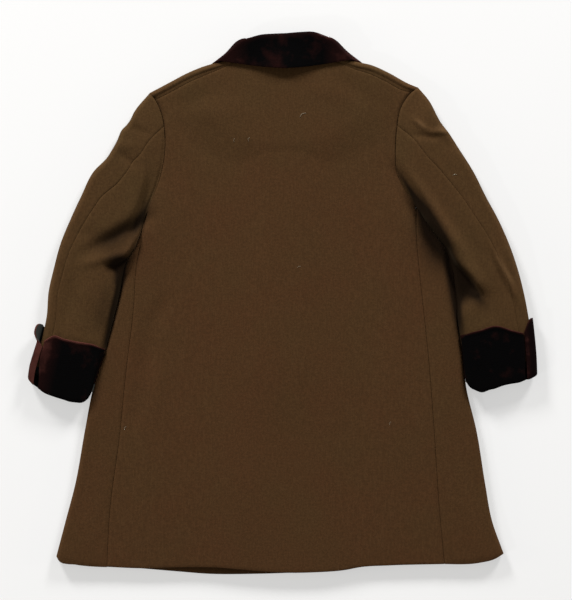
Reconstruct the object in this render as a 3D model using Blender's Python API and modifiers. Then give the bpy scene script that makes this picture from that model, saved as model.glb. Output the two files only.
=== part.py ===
"""A child's wool overcoat with a velvet collar and turned-back velvet cuffs, laid flat with its back up.

Every cloth piece is a wall. Its outer face is worked out from the seam lines that the piece was cut to,
and Solidify gives it the cloth's thickness. Tables are in millimetres and the model is in metres.
X runs across the coat, +Y towards the collar and +Z up from the surface that the coat lies on.
"""
from math import acos, cos, hypot, pi, sin, sqrt

import bmesh
import bpy
import numpy as np
from mathutils import Vector

MM = 0.001

# Driving sizes, in millimetres
WOOL = 2.6             # thickness of the wool cloth
VELVET = 2.0           # thickness of the velvet, with its backing
SEAM_GAP = 0.4         # clear space between two pieces at a seam
EDGE_SEAM_GAP = 1.3    # added to half of it where a seam lies on the body's rolled edge
ARMHOLE_GAP = 0.9      # the same where a sleeve rises from its armhole
SLEEVE_START = 0.0053  # share of the sleeve's length at which the gap ends
LAYER_GAP = 0.4        # clear space between a piece and the one it lies on
BODY_HEIGHT = 9.6      # outside to outside over the flattened body
BODY_ROLL = BODY_HEIGHT / 2    # radius of the body's rolled edges
BODY_SAG = 1.2         # the back lies this much lower between the centre and the sides
SLEEVE_HEIGHT = 13.5   # over the full part of a sleeve
SLEEVE_LOW = 8.4       # over the part of a sleeve that has sunk beside the body
SLEEVE_GAP = 1.2       # between the body's side and the sleeve beside it
CUFF_HEIGHT = 15.0     # over a cuff
SHOULDER_SEAM = 10.0   # from the shoulder's fold back to its seam
OVERLAP = 30.0         # each front beyond the centre line
CENTRE_TOP = 3.5       # centre line of the coat at the neck
CENTRE_HEM = -3.0      # and at the hem
NECK_Y = 262.0
HEM_Y = -297.0
COLLAR_ROOM = VELVET + 0.6    # the fronts are held this high by the collar under them
COLLAR_MIDDLE = 238.0         # level of the middle of that raised patch
COLLAR_REACH = (88.0, 60.0)   # half of its width and of its height
BUTTON_ROOM = 1.9             # and this high by the buttons
BUTTON_RADIUS = 10.0
BUTTON_THICKNESS = 1.5
BUTTON_RIM = 0.35             # softening of the button's edges
BUTTON_LEVELS = (190.0, 110.0, 30.0, -50.0)
CUFF_TURN = 11.0       # velvet turned to the inside of the cuff's mouth
CUFF_SLIT = 0.8        # width of the cuff's slit
CUFF_FOLD = 4.8        # over the two layers of velvet at the cuff's mouth
SLEEVE_END = 16.0      # from the cuff's mouth up to the sleeve's own end
FOLD_TOP = 15.6        # top of the collar's fold
COLLAR_BULGE = {-1: 4.0, 1: 6.5}    # how far its left and right side stand out past their folds
FOLD_HEIGHT = 5.6      # over the two layers of velvet at that fold
STAND_FACE = 9.0       # height of the stand's neck side where it meets the back
COLLAR_OUT = (29.0, 45.0)      # way in which the collar's sides stand out, right side
SHOULDER_PART = 0.5    # share of a front's top edge that lies on the shoulder

# Side edges of the body, from the hem up to the armhole: x, y
LEFT_EDGE = [
    (-248.5, -279), (-238, -239), (-228, -201), (-217, -140), (-208, -94), (-195, -52),
    (-181, 3), (-171, 44), (-163, 59), (-157, 75), (-151, 96),
]
RIGHT_EDGE = [
    (243, -276), (230, -239), (223, -201), (213, -140), (202, -94), (197, -47), (193, -19),
    (190, 11), (187, 34), (179, 58), (165, 78), (148, 105),
]
# Side-back seams, from the hem up to the armhole: x, y
LEFT_SEAM = [
    (-193, -290), (-190, -232), (-179, -146), (-172, -77), (-164, -10), (-160, 44), (-154, 74),
    (-148.5, 95.5),
]
RIGHT_SEAM = [
    (178, -287), (172, -221), (167, -146), (161, -67), (154, 1), (150, 37), (147, 80),
    (145.5, 103),
]
# Armholes on the back, from the shoulder down to the underarm: x, y
LEFT_ARMHOLE = [
    (-146, 230), (-139, 221), (-133, 206), (-130, 184), (-131, 162), (-136, 138), (-144, 114),
    (-151, 96),
]
RIGHT_ARMHOLE = [
    (149, 236), (140, 229), (130, 213), (126, 190), (125, 162), (127, 143), (137, 122),
    (148, 105),
]
# Armholes on the fronts, which are cut deeper: x, y
LEFT_FRONT_ARMHOLE = [
    (-146, 230), (-128, 207), (-119, 172), (-122, 140), (-137, 114), (-151, 96),
]
RIGHT_FRONT_ARMHOLE = [
    (149, 236), (129, 212), (116, 178), (117, 146), (131, 122), (148, 105),
]
# Fold of the body over each shoulder, from the armhole to the neck: x, y
LEFT_SHOULDER = [(-146, 230), (-127, 240), (-103, 252.5), (-87, 259), (-72, 263.5), (-54, 270)]
RIGHT_SHOULDER = [(149, 236), (139, 240), (117, 252), (98, 260.5), (80, 264.5), (61, 271)]
# Neckline of each front below the shoulder, and on past the centre: steps out from the centre, y
FRONT_NECK = [(44, 243.5), (28, 228.5), (10, 221.5), (-OVERLAP, 219)]
BACK_NECK = [(-24, NECK_Y - 0.5), (CENTRE_TOP, NECK_Y), (31, NECK_Y - 0.5)]
# Hems, from left to right: x, y
BACK_HEM = [
    (-193, -290.5), (-162, -292), (-100, -291), (-74, -291.3), (-41, -294), (3, -297), (36, -296.5),
    (69, -294), (85, -291), (118, -289), (178, -287.5),
]
LEFT_FRONT_HEM = [
    (-248.5, -279), (-245, -284.5), (-228, -288), (-162, -292), (-113, -296), (-80, -298.5),
    (-30, -298.5), (3, -297.6), (30, -296.5),
]
RIGHT_FRONT_HEM = [
    (243, -276), (233, -282), (217, -286), (168, -287.5), (118, -288.5), (85, -290), (50, -293.5),
    (0, -295), (-33, -293),
]

# Outer edge of each sleeve from the shoulder down into the cuff: x, y
LEFT_SLEEVE = [
    (-146, 230), (-163, 209), (-176, 190), (-187, 168), (-208, 143), (-221, 117), (-233, 91),
    (-244, 64), (-251, 38), (-257, 11), (-259, -15), (-265, -42), (-274, -69),
]
RIGHT_SLEEVE = [
    (149, 236), (160, 223), (175, 196), (193, 170), (210, 143), (223, 117), (237, 91),
    (249, 64), (258, 38), (265, 11), (270, -15), (273, -36), (276, -64),
]
# Hind-arm seams: share of the way down the sleeve, share of the way across from its outer edge
LEFT_HIND_SEAM = [(0, 0.27), (0.15, 0.27), (0.3, 0.23), (0.45, 0.14), (0.6, 0.09), (1, 0.09)]
RIGHT_HIND_SEAM = [(0, 0.33), (0.15, 0.33), (0.3, 0.31), (0.5, 0.2), (0.7, 0.13), (1, 0.12)]
FORE_SEAM = 0.8        # share of the way across, underneath
# Foot of the step where each sleeve has sunk beside the body: x, y
LEFT_STEP = [(-158, 64), (-178, 45), (-200, 41), (-214, 40)]
RIGHT_STEP = [(182, 60), (190, 44), (206, 26), (219, 10), (232, 0)]

# Outer edge of each cuff from its top to its mouth, and the mouth from there inwards: x, y
LEFT_CUFF = [(-265, -24), (-269, -40), (-274, -56), (-278, -70), (-280, -84)]
RIGHT_CUFF = [(275, -17), (277, -35), (279, -57), (280, -80)]
LEFT_MOUTH = [(-280, -84), (-270, -94), (-240, -107), (-222, -110)]
RIGHT_MOUTH = [(280, -80), (270, -85), (244, -91), (216, -98)]
LEFT_CUFF_LEVELS = (-49.0, -100.0)    # where the cuff's inner edge starts and ends beside the body
RIGHT_CUFF_LEVELS = (-34.0, -91.0)
# Top edge of each cuff: share of the way round from the slit, over the top first; drop of the edge
LEFT_CUFF_EDGE = [
    (0, 20), (0.07, 9.5), (0.2, 7.5), (0.42, 4), (0.6, 4), (0.85, 2), (0.93, 0), (1, 8),
]
RIGHT_CUFF_EDGE = [
    (0, 15), (0.08, 9), (0.19, 0.5), (0.3, 1.5), (0.44, 3), (0.6, 3), (0.85, 1), (0.95, 0), (1, 3),
]

# Half of the collar in steps out from the centre line. The back layer runs from the centre to the
# side: share, step and y of the fall's edge, of the fold and of the seam to the neck
COLLAR_BACK = [
    (0.0, 0.0, 257.0, 0.0, 296.0, 0.0, 262.8),
    (0.3, 22.0, 258.5, 13.0, 296.6, 15.0, 263.2),
    (0.6, 44.0, 262.5, 26.0, 296.4, 31.0, 264.4),
    (1.0, 69.5, 266.5, 37.3, 289.6, 51.0, 268.0),
]
# and the front layer from the side to the tip
COLLAR_FRONT = [
    (0.0, 81.0, 258.5, 37.3, 289.6, 52.0, 268.0),
    (0.35, 76.0, 231.0, 30.0, 262.0, 41.5, 248.0),
    (0.7, 52.0, 203.0, 17.0, 243.0, 26.0, 232.0),
    (1.0, 18.0, 192.0, 3.0, 232.0, 6.0, 224.5),
]

BROWN = (0.062, 0.030, 0.0125, 1.0)
DARK_RED = (0.012, 0.004, 0.003, 1.0)
BUTTON_BROWN = (0.030, 0.018, 0.011, 1.0)


def clamp(value, low=0.0, high=1.0):
    return max(low, min(high, value))


def soft_step(value):
    """A soft rise from 0 to 1."""
    value = clamp(value)
    return value * value * (3 - 2 * value)


def blend(start, end, share):
    return start + (end - start) * share


def unit(vector):
    return vector / max(1e-9, float(np.linalg.norm(vector)))


def hermite(places, values, slopes, place):
    """Value at one place on the smooth line through the rows."""
    place = clamp(place, places[0], places[-1])
    row = int(np.searchsorted(places, place, side="right")) - 1
    row = min(max(row, 0), len(places) - 2)
    step = places[row + 1] - places[row]
    t = (place - places[row]) / step
    first = (2 * t**3 - 3 * t**2 + 1) * values[row] + (t**3 - 2 * t**2 + t) * step * slopes[row]
    second = (3 * t**2 - 2 * t**3) * values[row + 1] + (t**3 - t**2) * step * slopes[row + 1]
    return first + second


def line_through(rows):
    """A smooth line through the rows of a table, read by the share of its length."""
    values = np.array(rows, float)
    steps = np.linalg.norm(np.diff(values, axis=0), axis=1)
    places = np.concatenate(([0.0], np.cumsum(steps)))
    places = places / places[-1]
    slopes = np.gradient(values, places, axis=0)
    return lambda share: hermite(places, values, slopes, share)


def reading(rows):
    """A table whose first column is a place, read smoothly at any place."""
    places = np.array([row[0] for row in rows], float)
    values = np.array([row[1:] for row in rows], float)
    slopes = np.gradient(values, places, axis=0)
    return lambda place: hermite(places, values, slopes, place)


def share_at_level(line, level):
    """Share of a rising line at which it reaches a level in y."""
    low, high = 0.0, 1.0
    for _ in range(30):
        middle = (low + high) / 2
        if line(middle)[1] < level:
            low = middle
        else:
            high = middle
    return (low + high) / 2


def inward(line, share, towards=(0.0, 0.0)):
    """Unit vector square to a line, on the side where a point lies."""
    ahead = line(min(1.0, share + 0.01))
    behind = line(max(0.0, share - 0.01))
    along = unit(ahead - behind)
    square = np.array([-along[1], along[0]])
    if np.dot(square, np.array(towards) - line(share)) < 0:
        square = -square
    return square


def patch(left, right, bottom, top):
    """A sheet spanned by four lines that meet at its corners (a Coons patch)."""
    corners = (left(0), left(1), right(0), right(1))

    def at(u, v):
        across = blend(left(v), right(v), u)
        along = blend(bottom(u), top(u), v)
        corner = blend(blend(corners[0], corners[2], u), blend(corners[1], corners[3], u), v)
        return across + along - corner

    return at


def meeting(line, start, end, reach=0.25):
    """The line, drawn at its two ends to the points where it has to meet its neighbours."""
    start_drift = start - line(0.0)
    end_drift = end - line(1.0)

    def at(share):
        near_start = 1 - soft_step(share / reach)
        near_end = 1 - soft_step((1 - share) / reach)
        return line(share) + start_drift * near_start + end_drift * near_end

    return at


def distance_to(chain, place):
    """Shortest distance from a place to a chain of points."""
    start = chain[:-1]
    span = chain[1:] - start
    share = np.sum((place - start) * span, axis=1) / np.sum(span * span, axis=1)
    nearest = start + span * np.clip(share, 0, 1)[:, None]
    return float(np.min(np.hypot(nearest[:, 0] - place[0], nearest[:, 1] - place[1])))


def chain_of(line, count=40):
    """Points along a line at equal shares of it."""
    return np.array([line(k / count) for k in range(count + 1)])


def length_of(line):
    return float(np.sum(np.linalg.norm(np.diff(chain_of(line), axis=0), axis=1)))


EDGE = {"left": line_through(LEFT_EDGE), "right": line_through(RIGHT_EDGE)}
SIDE_SEAM = {"left": line_through(LEFT_SEAM), "right": line_through(RIGHT_SEAM)}
ARMHOLE = {"left": line_through(LEFT_ARMHOLE), "right": line_through(RIGHT_ARMHOLE)}
FRONT_ARMHOLE = {
    "left": line_through(LEFT_FRONT_ARMHOLE),
    "right": line_through(RIGHT_FRONT_ARMHOLE),
}
SHOULDER = {"left": line_through(LEFT_SHOULDER), "right": line_through(RIGHT_SHOULDER)}
SIDE_CHAINS = [chain_of(EDGE["left"]), chain_of(EDGE["right"])]


def centre_line(y):
    return blend(CENTRE_HEM, CENTRE_TOP, (y - HEM_Y) / (NECK_Y - HEM_Y))


def base_height(x, y):
    """Height of the coat's underside, which the collar and the buttons lift off the surface."""
    reach = hypot((x - CENTRE_TOP) / COLLAR_REACH[0], (y - COLLAR_MIDDLE) / COLLAR_REACH[1])
    collar = COLLAR_ROOM * (1 - soft_step((reach - 1.0) / 0.6))
    off_centre = abs(x - centre_line(y))
    strip = 1 - soft_step((off_centre - 13.0) / 40.0)
    ends = soft_step((y + 160.0) / 100.0)
    return max(collar, BUTTON_ROOM * strip * ends)


def lap_height(x, y):
    """The right front lies on the left one within the overlap."""
    past = (x - centre_line(y) - OVERLAP - 3.0) / 25.0
    return (WOOL + LAYER_GAP) * (1 - soft_step(past))


def roll_share(inset, radius):
    """Share of the full height at a distance in from a rolled edge: a half at the edge itself."""
    depth = clamp(inset / radius)
    return 0.5 + 0.5 * sqrt(max(0.0, 1 - (1 - depth) ** 2))


def body_height(x, y):
    """Height of the body's upper face."""
    near = min(distance_to(chain, np.array([x, y])) for chain in SIDE_CHAINS)
    off_centre = abs(x - centre_line(y))
    sag = BODY_SAG * soft_step((off_centre - 45.0) / 50.0) * soft_step((near - 12.0) / 40.0)
    return base_height(x, y) + (BODY_HEIGHT - sag) * roll_share(near, BODY_ROLL)


def new_material(name, colour, roughness, sheen):
    """A plain surface with one colour."""
    material = bpy.data.materials.new(name)
    material.use_nodes = True
    shader = material.node_tree.nodes["Principled BSDF"]
    shader.inputs["Base Color"].default_value = colour
    shader.inputs["Roughness"].default_value = roughness
    shader.inputs["Sheen Weight"].default_value = sheen
    return material


def wool(name):
    """Brown woollen cloth with a soft raised face."""
    return new_material(name, BROWN, 0.95, 0.25)


def velvet(name):
    """Dark red velvet, nearly black."""
    return new_material(name, DARK_RED, 0.85, 0.6)


def button_stock(name):
    """Plain brown button material with a low shine."""
    return new_material(name, BUTTON_BROWN, 0.4, 0.0)


def cloth(name, cells, thickness, material):
    """One cloth piece: a net of points by column and row becomes a wall of the cloth's thickness.

    The points lie on the piece's outer face. The face that lies highest is known to look up, so the
    others are turned to agree with it before Solidify adds the inner face.
    """
    net = bmesh.new()
    corner = {place: net.verts.new(Vector(point) * MM) for place, point in cells.items()}
    for column, row in cells:
        ring = [(column, row), (column + 1, row), (column + 1, row + 1), (column, row + 1)]
        if all(place in corner for place in ring):
            net.faces.new([corner[place] for place in ring])
    net.normal_update()
    highest = max(net.faces, key=lambda face: face.calc_center_median().z)
    if highest.normal.z < 0:
        bmesh.ops.reverse_faces(net, faces=list(net.faces))
    mesh = bpy.data.meshes.new(name)
    net.to_mesh(mesh)
    net.free()
    mesh.shade_smooth()
    mesh.materials.append(material)
    piece = bpy.data.objects.new(name, mesh)
    coat.objects.link(piece)
    wall = piece.modifiers.new("Cloth thickness", "SOLIDIFY")
    wall.thickness = thickness * MM
    wall.offset = -1
    return piece


def seam_allowance(inset):
    """Half of the gap at a side-back seam, wider where the seam lies on the rolled edge."""
    return SEAM_GAP / 2 + EDGE_SEAM_GAP * (1 - clamp(inset / BODY_ROLL))


def back_side_line(side, seam_part):
    """Side of the back from the hem up: the side-back seam, then the armhole up to the shoulder seam."""
    seam, armhole = SIDE_SEAM[side], ARMHOLE[side]
    shoulder_share = (SHOULDER_SEAM + SEAM_GAP) / length_of(armhole)

    def at(v):
        if v <= seam_part:
            return seam(v / seam_part)
        return armhole(blend(1.0, shoulder_share, (v - seam_part) / (1 - seam_part)))

    return at


def shoulder_square(side, share):
    """Way in from the shoulder's fold: along the armhole at its end, and square to the fold elsewhere."""
    armhole, shoulder = ARMHOLE[side], SHOULDER[side]
    along_armhole = unit(armhole(0.06) - armhole(0.0))
    return unit(blend(along_armhole, inward(shoulder, share), soft_step(share / 0.3)))


def shoulder_seam_line(side, inset):
    """A line inside the shoulder's fold, from the armhole to the neck."""
    shoulder = SHOULDER[side]
    return lambda share: shoulder(share) + shoulder_square(side, share) * inset


def back_panel():
    """The back, cut in one: its sides follow the side-back seams and then the armholes."""
    columns, seam_rows, arm_rows, seam_part = 22, 15, 9, 0.7
    left, right = back_side_line("left", seam_part), back_side_line("right", seam_part)
    left_seam = shoulder_seam_line("left", SHOULDER_SEAM + SEAM_GAP)
    right_seam = shoulder_seam_line("right", SHOULDER_SEAM + SEAM_GAP)
    neck = line_through([tuple(left_seam(1.0))] + BACK_NECK + [tuple(right_seam(1.0))])
    left_seam = meeting(left_seam, left(1.0), neck(0.0), 0.3)
    right_seam = meeting(right_seam, right(1.0), neck(1.0), 0.3)
    seam_columns = 7
    seam_end = seam_columns / columns

    def top(u):
        if u <= seam_end:
            return left_seam(u / seam_end)
        if u >= 1 - seam_end:
            return right_seam((1 - u) / seam_end)
        return neck((u - seam_end) / (1 - 2 * seam_end))

    at = patch(left, right, line_through(BACK_HEM), top)
    shares = [seam_part * row / seam_rows for row in range(seam_rows)]
    shares += [blend(seam_part, 1.0, row / arm_rows) for row in range(arm_rows + 1)]
    cells = {}
    for row, v in enumerate(shares):
        width = float(np.linalg.norm(right(v) - left(v)))
        left_inset = distance_to(SIDE_CHAINS[0], left(v))
        right_inset = distance_to(SIDE_CHAINS[1], right(v))
        low = seam_allowance(left_inset) / width
        high = 1 - seam_allowance(right_inset) / width
        for column in range(columns + 1):
            x, y = at(blend(low, high, column / columns), v)
            cells[(column, row)] = (x, y, body_height(x, y))
    return cloth("back", cells, WOOL, wool("back"))


def rolled(place, square, base, inset, steps=7):
    """Points up round the body's rolled edge, from just past its underside to the inset on top."""
    last = acos(1 - clamp(inset / BODY_ROLL))
    points = []
    for step in range(1, steps + 1):
        angle = blend(-pi / 2, last, step / steps)
        spot = place + square * BODY_ROLL * (1 - cos(angle))
        points.append((spot[0], spot[1], base + BODY_ROLL * (1 + sin(angle))))
    return points


def front_panel(side):
    """A front: flat underneath, up round the side to its seam, and over the shoulder to its seam."""
    edge, under_arm, shoulder = EDGE[side], FRONT_ARMHOLE[side], SHOULDER[side]
    sign = -1 if side == "left" else 1
    columns, neck_columns = 12, 6
    low_rows, arm_rows, low_part = 16, 7, 0.7
    arm_start = BODY_ROLL / length_of(under_arm)
    hem = line_through(LEFT_FRONT_HEM if side == "left" else RIGHT_FRONT_HEM)
    shoulder_fold = shoulder_seam_line(side, BODY_ROLL)
    neck_rows = [tuple(shoulder_fold(1.0))]
    neck_rows += [(CENTRE_TOP + sign * step, y) for step, y in FRONT_NECK]
    neck = line_through(neck_rows)

    def centre_edge(v):
        y = blend(hem(1.0)[1], neck_rows[-1][1], v)
        return np.array([centre_line(y) - sign * OVERLAP, y])

    def side_edge(v):
        if v <= low_part:
            share = v / low_part
            return edge(share) + inward(edge, share) * BODY_ROLL
        share = blend(1 - arm_start, arm_start, (v - low_part) / (1 - low_part))
        return under_arm(share) + inward(under_arm, share) * ARMHOLE_GAP / 2

    def top_edge(u):
        if u <= 1 - SHOULDER_PART:
            return neck(1 - u / (1 - SHOULDER_PART))
        return shoulder_fold((1 - u) / SHOULDER_PART)

    top = meeting(top_edge, centre_edge(1.0), side_edge(1.0), 0.15)
    bottom = meeting(lambda u: hem(1 - u), centre_edge(0.0), side_edge(0.0), 0.15)
    at = patch(centre_edge, side_edge, bottom, top)
    shares = [low_part * row / low_rows for row in range(low_rows + 1)]
    shares += [blend(low_part, 1.0, row / arm_rows) for row in range(1, arm_rows + 1)]
    cells = {}
    for row, v in enumerate(shares):
        for column in range(columns + 1):
            x, y = at(column / columns, v)
            lift = lap_height(x, y) if side == "right" else 0.0
            cells[(column, row)] = (x, y, base_height(x, y) + lift)
    add_side_strip(cells, side, columns, low_rows, hem)
    last_row = low_rows + arm_rows
    for column in range(neck_columns, columns + 1):
        share = (1 - column / columns) / SHOULDER_PART
        place, square = shoulder(share), shoulder_square(side, share)
        points = rolled(place, square, base_height(*place), BODY_ROLL)
        spot = place + square * (SHOULDER_SEAM - SEAM_GAP)
        points.append((spot[0], spot[1], body_height(*spot)))
        for step, point in enumerate(points):
            cells[(column, last_row + 1 + step)] = point
    return cloth("front_" + side, cells, WOOL, wool("front_" + side))


def add_side_strip(cells, side, columns, low_rows, hem):
    """The part of a front that rolls up round the side and lies on top as far as the side-back seam."""
    edge, seam = EDGE[side], SIDE_SEAM[side]
    strip_columns, least_step = 3, 0.15
    for row in range(low_rows + 1):
        share = row / low_rows
        if row == low_rows:
            share = 1 - 1.3 * ARMHOLE_GAP / length_of(edge)
        place, square, goal = edge(share), inward(edge, share), seam(share)
        inset = float(np.dot(goal - place, square))
        allowance = seam_allowance(inset)
        goal = blend(goal, place, allowance / inset)
        points = rolled(place, square, base_height(*place), inset - allowance)
        rim = np.array(points[-1][:2])
        for step in range(1, strip_columns + 1):
            spot = blend(rim, goal, step / strip_columns)
            if inset - allowance < BODY_ROLL:
                spot = rim + square * least_step * step
            if row == 0:
                spot[1] = strip_hem_level(hem, spot[0])
            points.append((spot[0], spot[1], body_height(*spot)))
        for step, point in enumerate(points):
            cells[(columns + 1 + step, row)] = point


def strip_hem_level(hem, x):
    """Level of a front's hem at a place across the coat."""
    low, high = 0.0, 0.5
    outwards = abs(hem(0.0)[0]) > abs(x)
    for _ in range(25):
        middle = (low + high) / 2
        if outwards and abs(hem(middle)[0]) > abs(x):
            low = middle
        else:
            high = middle
    return hem(low)[1]


def sleeve_inner_line(side):
    """Inner edge of a sleeve: it lies beside the body's edge, and further in under the cuff."""
    edge = EDGE[side]
    levels = LEFT_CUFF_LEVELS if side == "left" else RIGHT_CUFF_LEVELS
    end = share_at_level(edge, levels[1] + SLEEVE_END)

    def at(v):
        share = blend(1.0, end, v)
        step = SLEEVE_GAP + (VELVET + LAYER_GAP + 1.0) * soft_step((v - 0.62) / 0.12)
        return edge(share) - inward(edge, share) * step

    return at


def sleeve_base(v):
    """A sleeve rises off the surface where its cuff lies under it."""
    return (VELVET + LAYER_GAP) * soft_step((v - 0.6) / 0.13)


def sleeve_height(side, x, y, v):
    """Height over a sleeve: as the body at the armhole, full below it, low beyond the step."""
    rows = LEFT_STEP if side == "left" else RIGHT_STEP
    place, start, end = np.array([x, y]), np.array(rows[0], float), np.array(rows[-1], float)
    share = float(np.dot(place - start, end - start)) / float(np.dot(end - start, end - start))
    foot = line_through(rows)(clamp(share))
    along = unit(end - start)
    down = np.array([along[1], -along[0]]) if side == "right" else np.array([-along[1], along[0]])
    below = float(np.dot(place - foot, down))
    fade = 1 - soft_step((share - 0.55) / 0.45)
    full = blend(BODY_HEIGHT, SLEEVE_HEIGHT, soft_step(v / 0.2))
    low = blend(full, SLEEVE_LOW, soft_step((below + 12.0) / 28.0) * fade * soft_step(v / 0.12))
    mouth = CUFF_HEIGHT - 2 * (VELVET + LAYER_GAP)
    return blend(low, mouth, soft_step((v - 0.61) / 0.12))


def sleeve_stations(part, seam):
    """Places round the sleeve between its rolled edges, and angles of the rolls."""
    if part == "top":
        stations = [("over", blend(seam, 0.0, k / 3)) for k in range(3)]
        stations += [("outer roll", blend(pi / 2, -pi / 2, k / 6)) for k in range(7)]
        return stations + [("below", blend(0.0, FORE_SEAM, k / 6)) for k in range(1, 7)]
    stations = [("over", blend(seam, 1.0, k / 7)) for k in range(7)]
    stations += [("inner roll", blend(pi / 2, -pi / 2, k / 6)) for k in range(7)]
    return stations + [("below", blend(1.0, FORE_SEAM, k / 2)) for k in range(1, 3)]


def sleeve_sheet(side):
    """Place in plan of a station of the sleeve: the two layers span the lines where the rolls end."""
    edge, armhole, under_arm = EDGE[side], ARMHOLE[side], FRONT_ARMHOLE[side]
    outer = line_through(LEFT_SLEEVE if side == "left" else RIGHT_SLEEVE)
    inner = sleeve_inner_line(side)
    ends = BODY_ROLL / length_of(armhole)
    middle = (outer(0.5) + inner(0.5)) / 2

    def roll(v):
        return BODY_ROLL + soft_step(v / 0.2)

    def outer_way(v):
        square = inward(outer, v, middle)
        return unit(blend(unit(armhole(0.06) - armhole(0.0)), square, soft_step(v / 0.15)))

    def inner_way(v, ring):
        square = -inward(edge, share_at_level(edge, inner(v)[1]))
        return unit(blend(unit(ring(0.94) - ring(1.0)), square, soft_step(v / 0.1)))

    def at(kind, way, v):
        below = kind == "below" or (kind != "over" and way < 0)
        ring = under_arm if below else armhole
        if kind == "outer roll":
            return outer(v) + outer_way(v) * roll(v) * (1 - cos(way))
        if kind == "inner roll":
            return inner(v) + inner_way(v, ring) * roll(v) * (1 - cos(way))
        first = outer(v) + outer_way(v) * roll(v)
        last = inner(v) + inner_way(v, ring) * roll(v)
        bow = ring(blend(ends, 1 - ends, way)) - blend(ring(ends), ring(1 - ends), way)
        hold = (1 - v) ** (2 + 8 * way) * (1 - soft_step(v / 0.75))
        return blend(first, last, way) + bow * hold

    return at


def sleeve_piece(side, part):
    """A top or an under sleeve: part of a flattened tube from the armhole into the cuff."""
    at = sleeve_sheet(side)
    hind = reading(LEFT_HIND_SEAM if side == "left" else RIGHT_HIND_SEAM)
    rows = 18
    cells = {}
    for row in range(rows + 1):
        v = blend(SLEEVE_START, 1.0, (row / rows) ** 1.15)
        width = float(np.linalg.norm(at("inner roll", 0.0, v) - at("outer roll", 0.0, v)))
        gap = SEAM_GAP / 2 / width
        seam = max(float(hind(v)[0]), 0.02)
        stations = sleeve_stations(part, seam - gap if part == "top" else seam + gap)
        for column, (kind, way) in enumerate(stations):
            if kind == "below":
                way = min(way, FORE_SEAM - gap) if part == "top" else max(way, FORE_SEAM + gap)
            x, y = at(kind, way, v)
            level = {"over": 1.0, "below": 0.0}.get(kind, 0.5 + 0.5 * sin(way))
            cells[(column, row)] = (x, y, sleeve_base(v) + sleeve_height(side, x, y, v) * level)
    name = part + "_sleeve_" + side
    return cloth(name, cells, WOOL, wool(name))


def cuff_stations():
    """Places round a cuff from its slit: run across the top and below (0 to 1), or angle of a roll."""
    stations = [("over", k / 6) for k in range(6)]
    stations += [("inner roll", blend(pi / 2, -pi / 2, k / 6)) for k in range(6)]
    stations += [("below", k / 6) for k in range(6)]
    stations += [("outer roll", blend(-pi / 2, pi / 2, k / 6)) for k in range(7)]
    return stations


def cuff_place(station, width, depth):
    """Distance in from the outer edge and height, with the whole ring drawn in by a depth."""
    kind, way = station
    radius = CUFF_HEIGHT / 2
    if kind == "over":
        return blend(radius + CUFF_SLIT, width - radius, way), CUFF_HEIGHT - depth
    if kind == "below":
        return blend(width - radius, radius, way), depth
    inset = depth + (radius - depth) * (1 - cos(way))
    height = radius + (radius - depth) * sin(way)
    if kind == "inner roll":
        return width - inset, height
    return inset, height


def cuff(side):
    """A cuff: a velvet band round the sleeve's end, turned in at its mouth and open along its slit."""
    edge = EDGE[side]
    left = side == "left"
    levels = LEFT_CUFF_LEVELS if left else RIGHT_CUFF_LEVELS
    first, last = (share_at_level(edge, level) for level in levels)
    outer = line_through(LEFT_CUFF if left else RIGHT_CUFF)
    drop = reading(LEFT_CUFF_EDGE if left else RIGHT_CUFF_EDGE)

    def inner(v):
        share = blend(first, last, v)
        return edge(share) - inward(edge, share) * SLEEVE_GAP

    mouth = line_through((LEFT_MOUTH if left else RIGHT_MOUTH) + [tuple(inner(1.0))])
    at = patch(outer, inner, lambda u: blend(outer(0.0), inner(0.0), u), mouth)
    width = float(np.linalg.norm(inner(0.5) - outer(0.5)))
    length = float(np.linalg.norm(at(0.5, 1.0) - at(0.5, 0.0)))
    radius = CUFF_FOLD / 2
    stations = cuff_stations()
    cells = {}
    for column, station in enumerate(stations):
        top = clamp(float(drop(column / (len(stations) - 1))[0]) / length)
        turn = 1 - radius / length
        profile = [(blend(top, turn, k / 5), 0.0) for k in range(5)]
        for k in range(6):
            angle = pi * k / 5
            profile.append((turn + radius * sin(angle) / length, radius * (1 - cos(angle))))
        profile += [(turn - CUFF_TURN / length * k / 2, CUFF_FOLD) for k in range(1, 3)]
        for row, (v, depth) in enumerate(profile):
            inset, height = cuff_place(station, width, depth)
            x, y = at(inset / width, v)
            cells[(column, row)] = (x, y, height)
    return cloth("cuff_" + side, cells, VELVET, velvet("cuff_" + side))


def collar_lines(table, share, sign):
    """Edge of the fall, fold and neck seam at one place round the collar."""
    row = reading(table)(share)
    steps, levels = row[0::2], row[1::2]
    return [np.array([CENTRE_TOP + sign * step, y]) for step, y in zip(steps, levels)]


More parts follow.
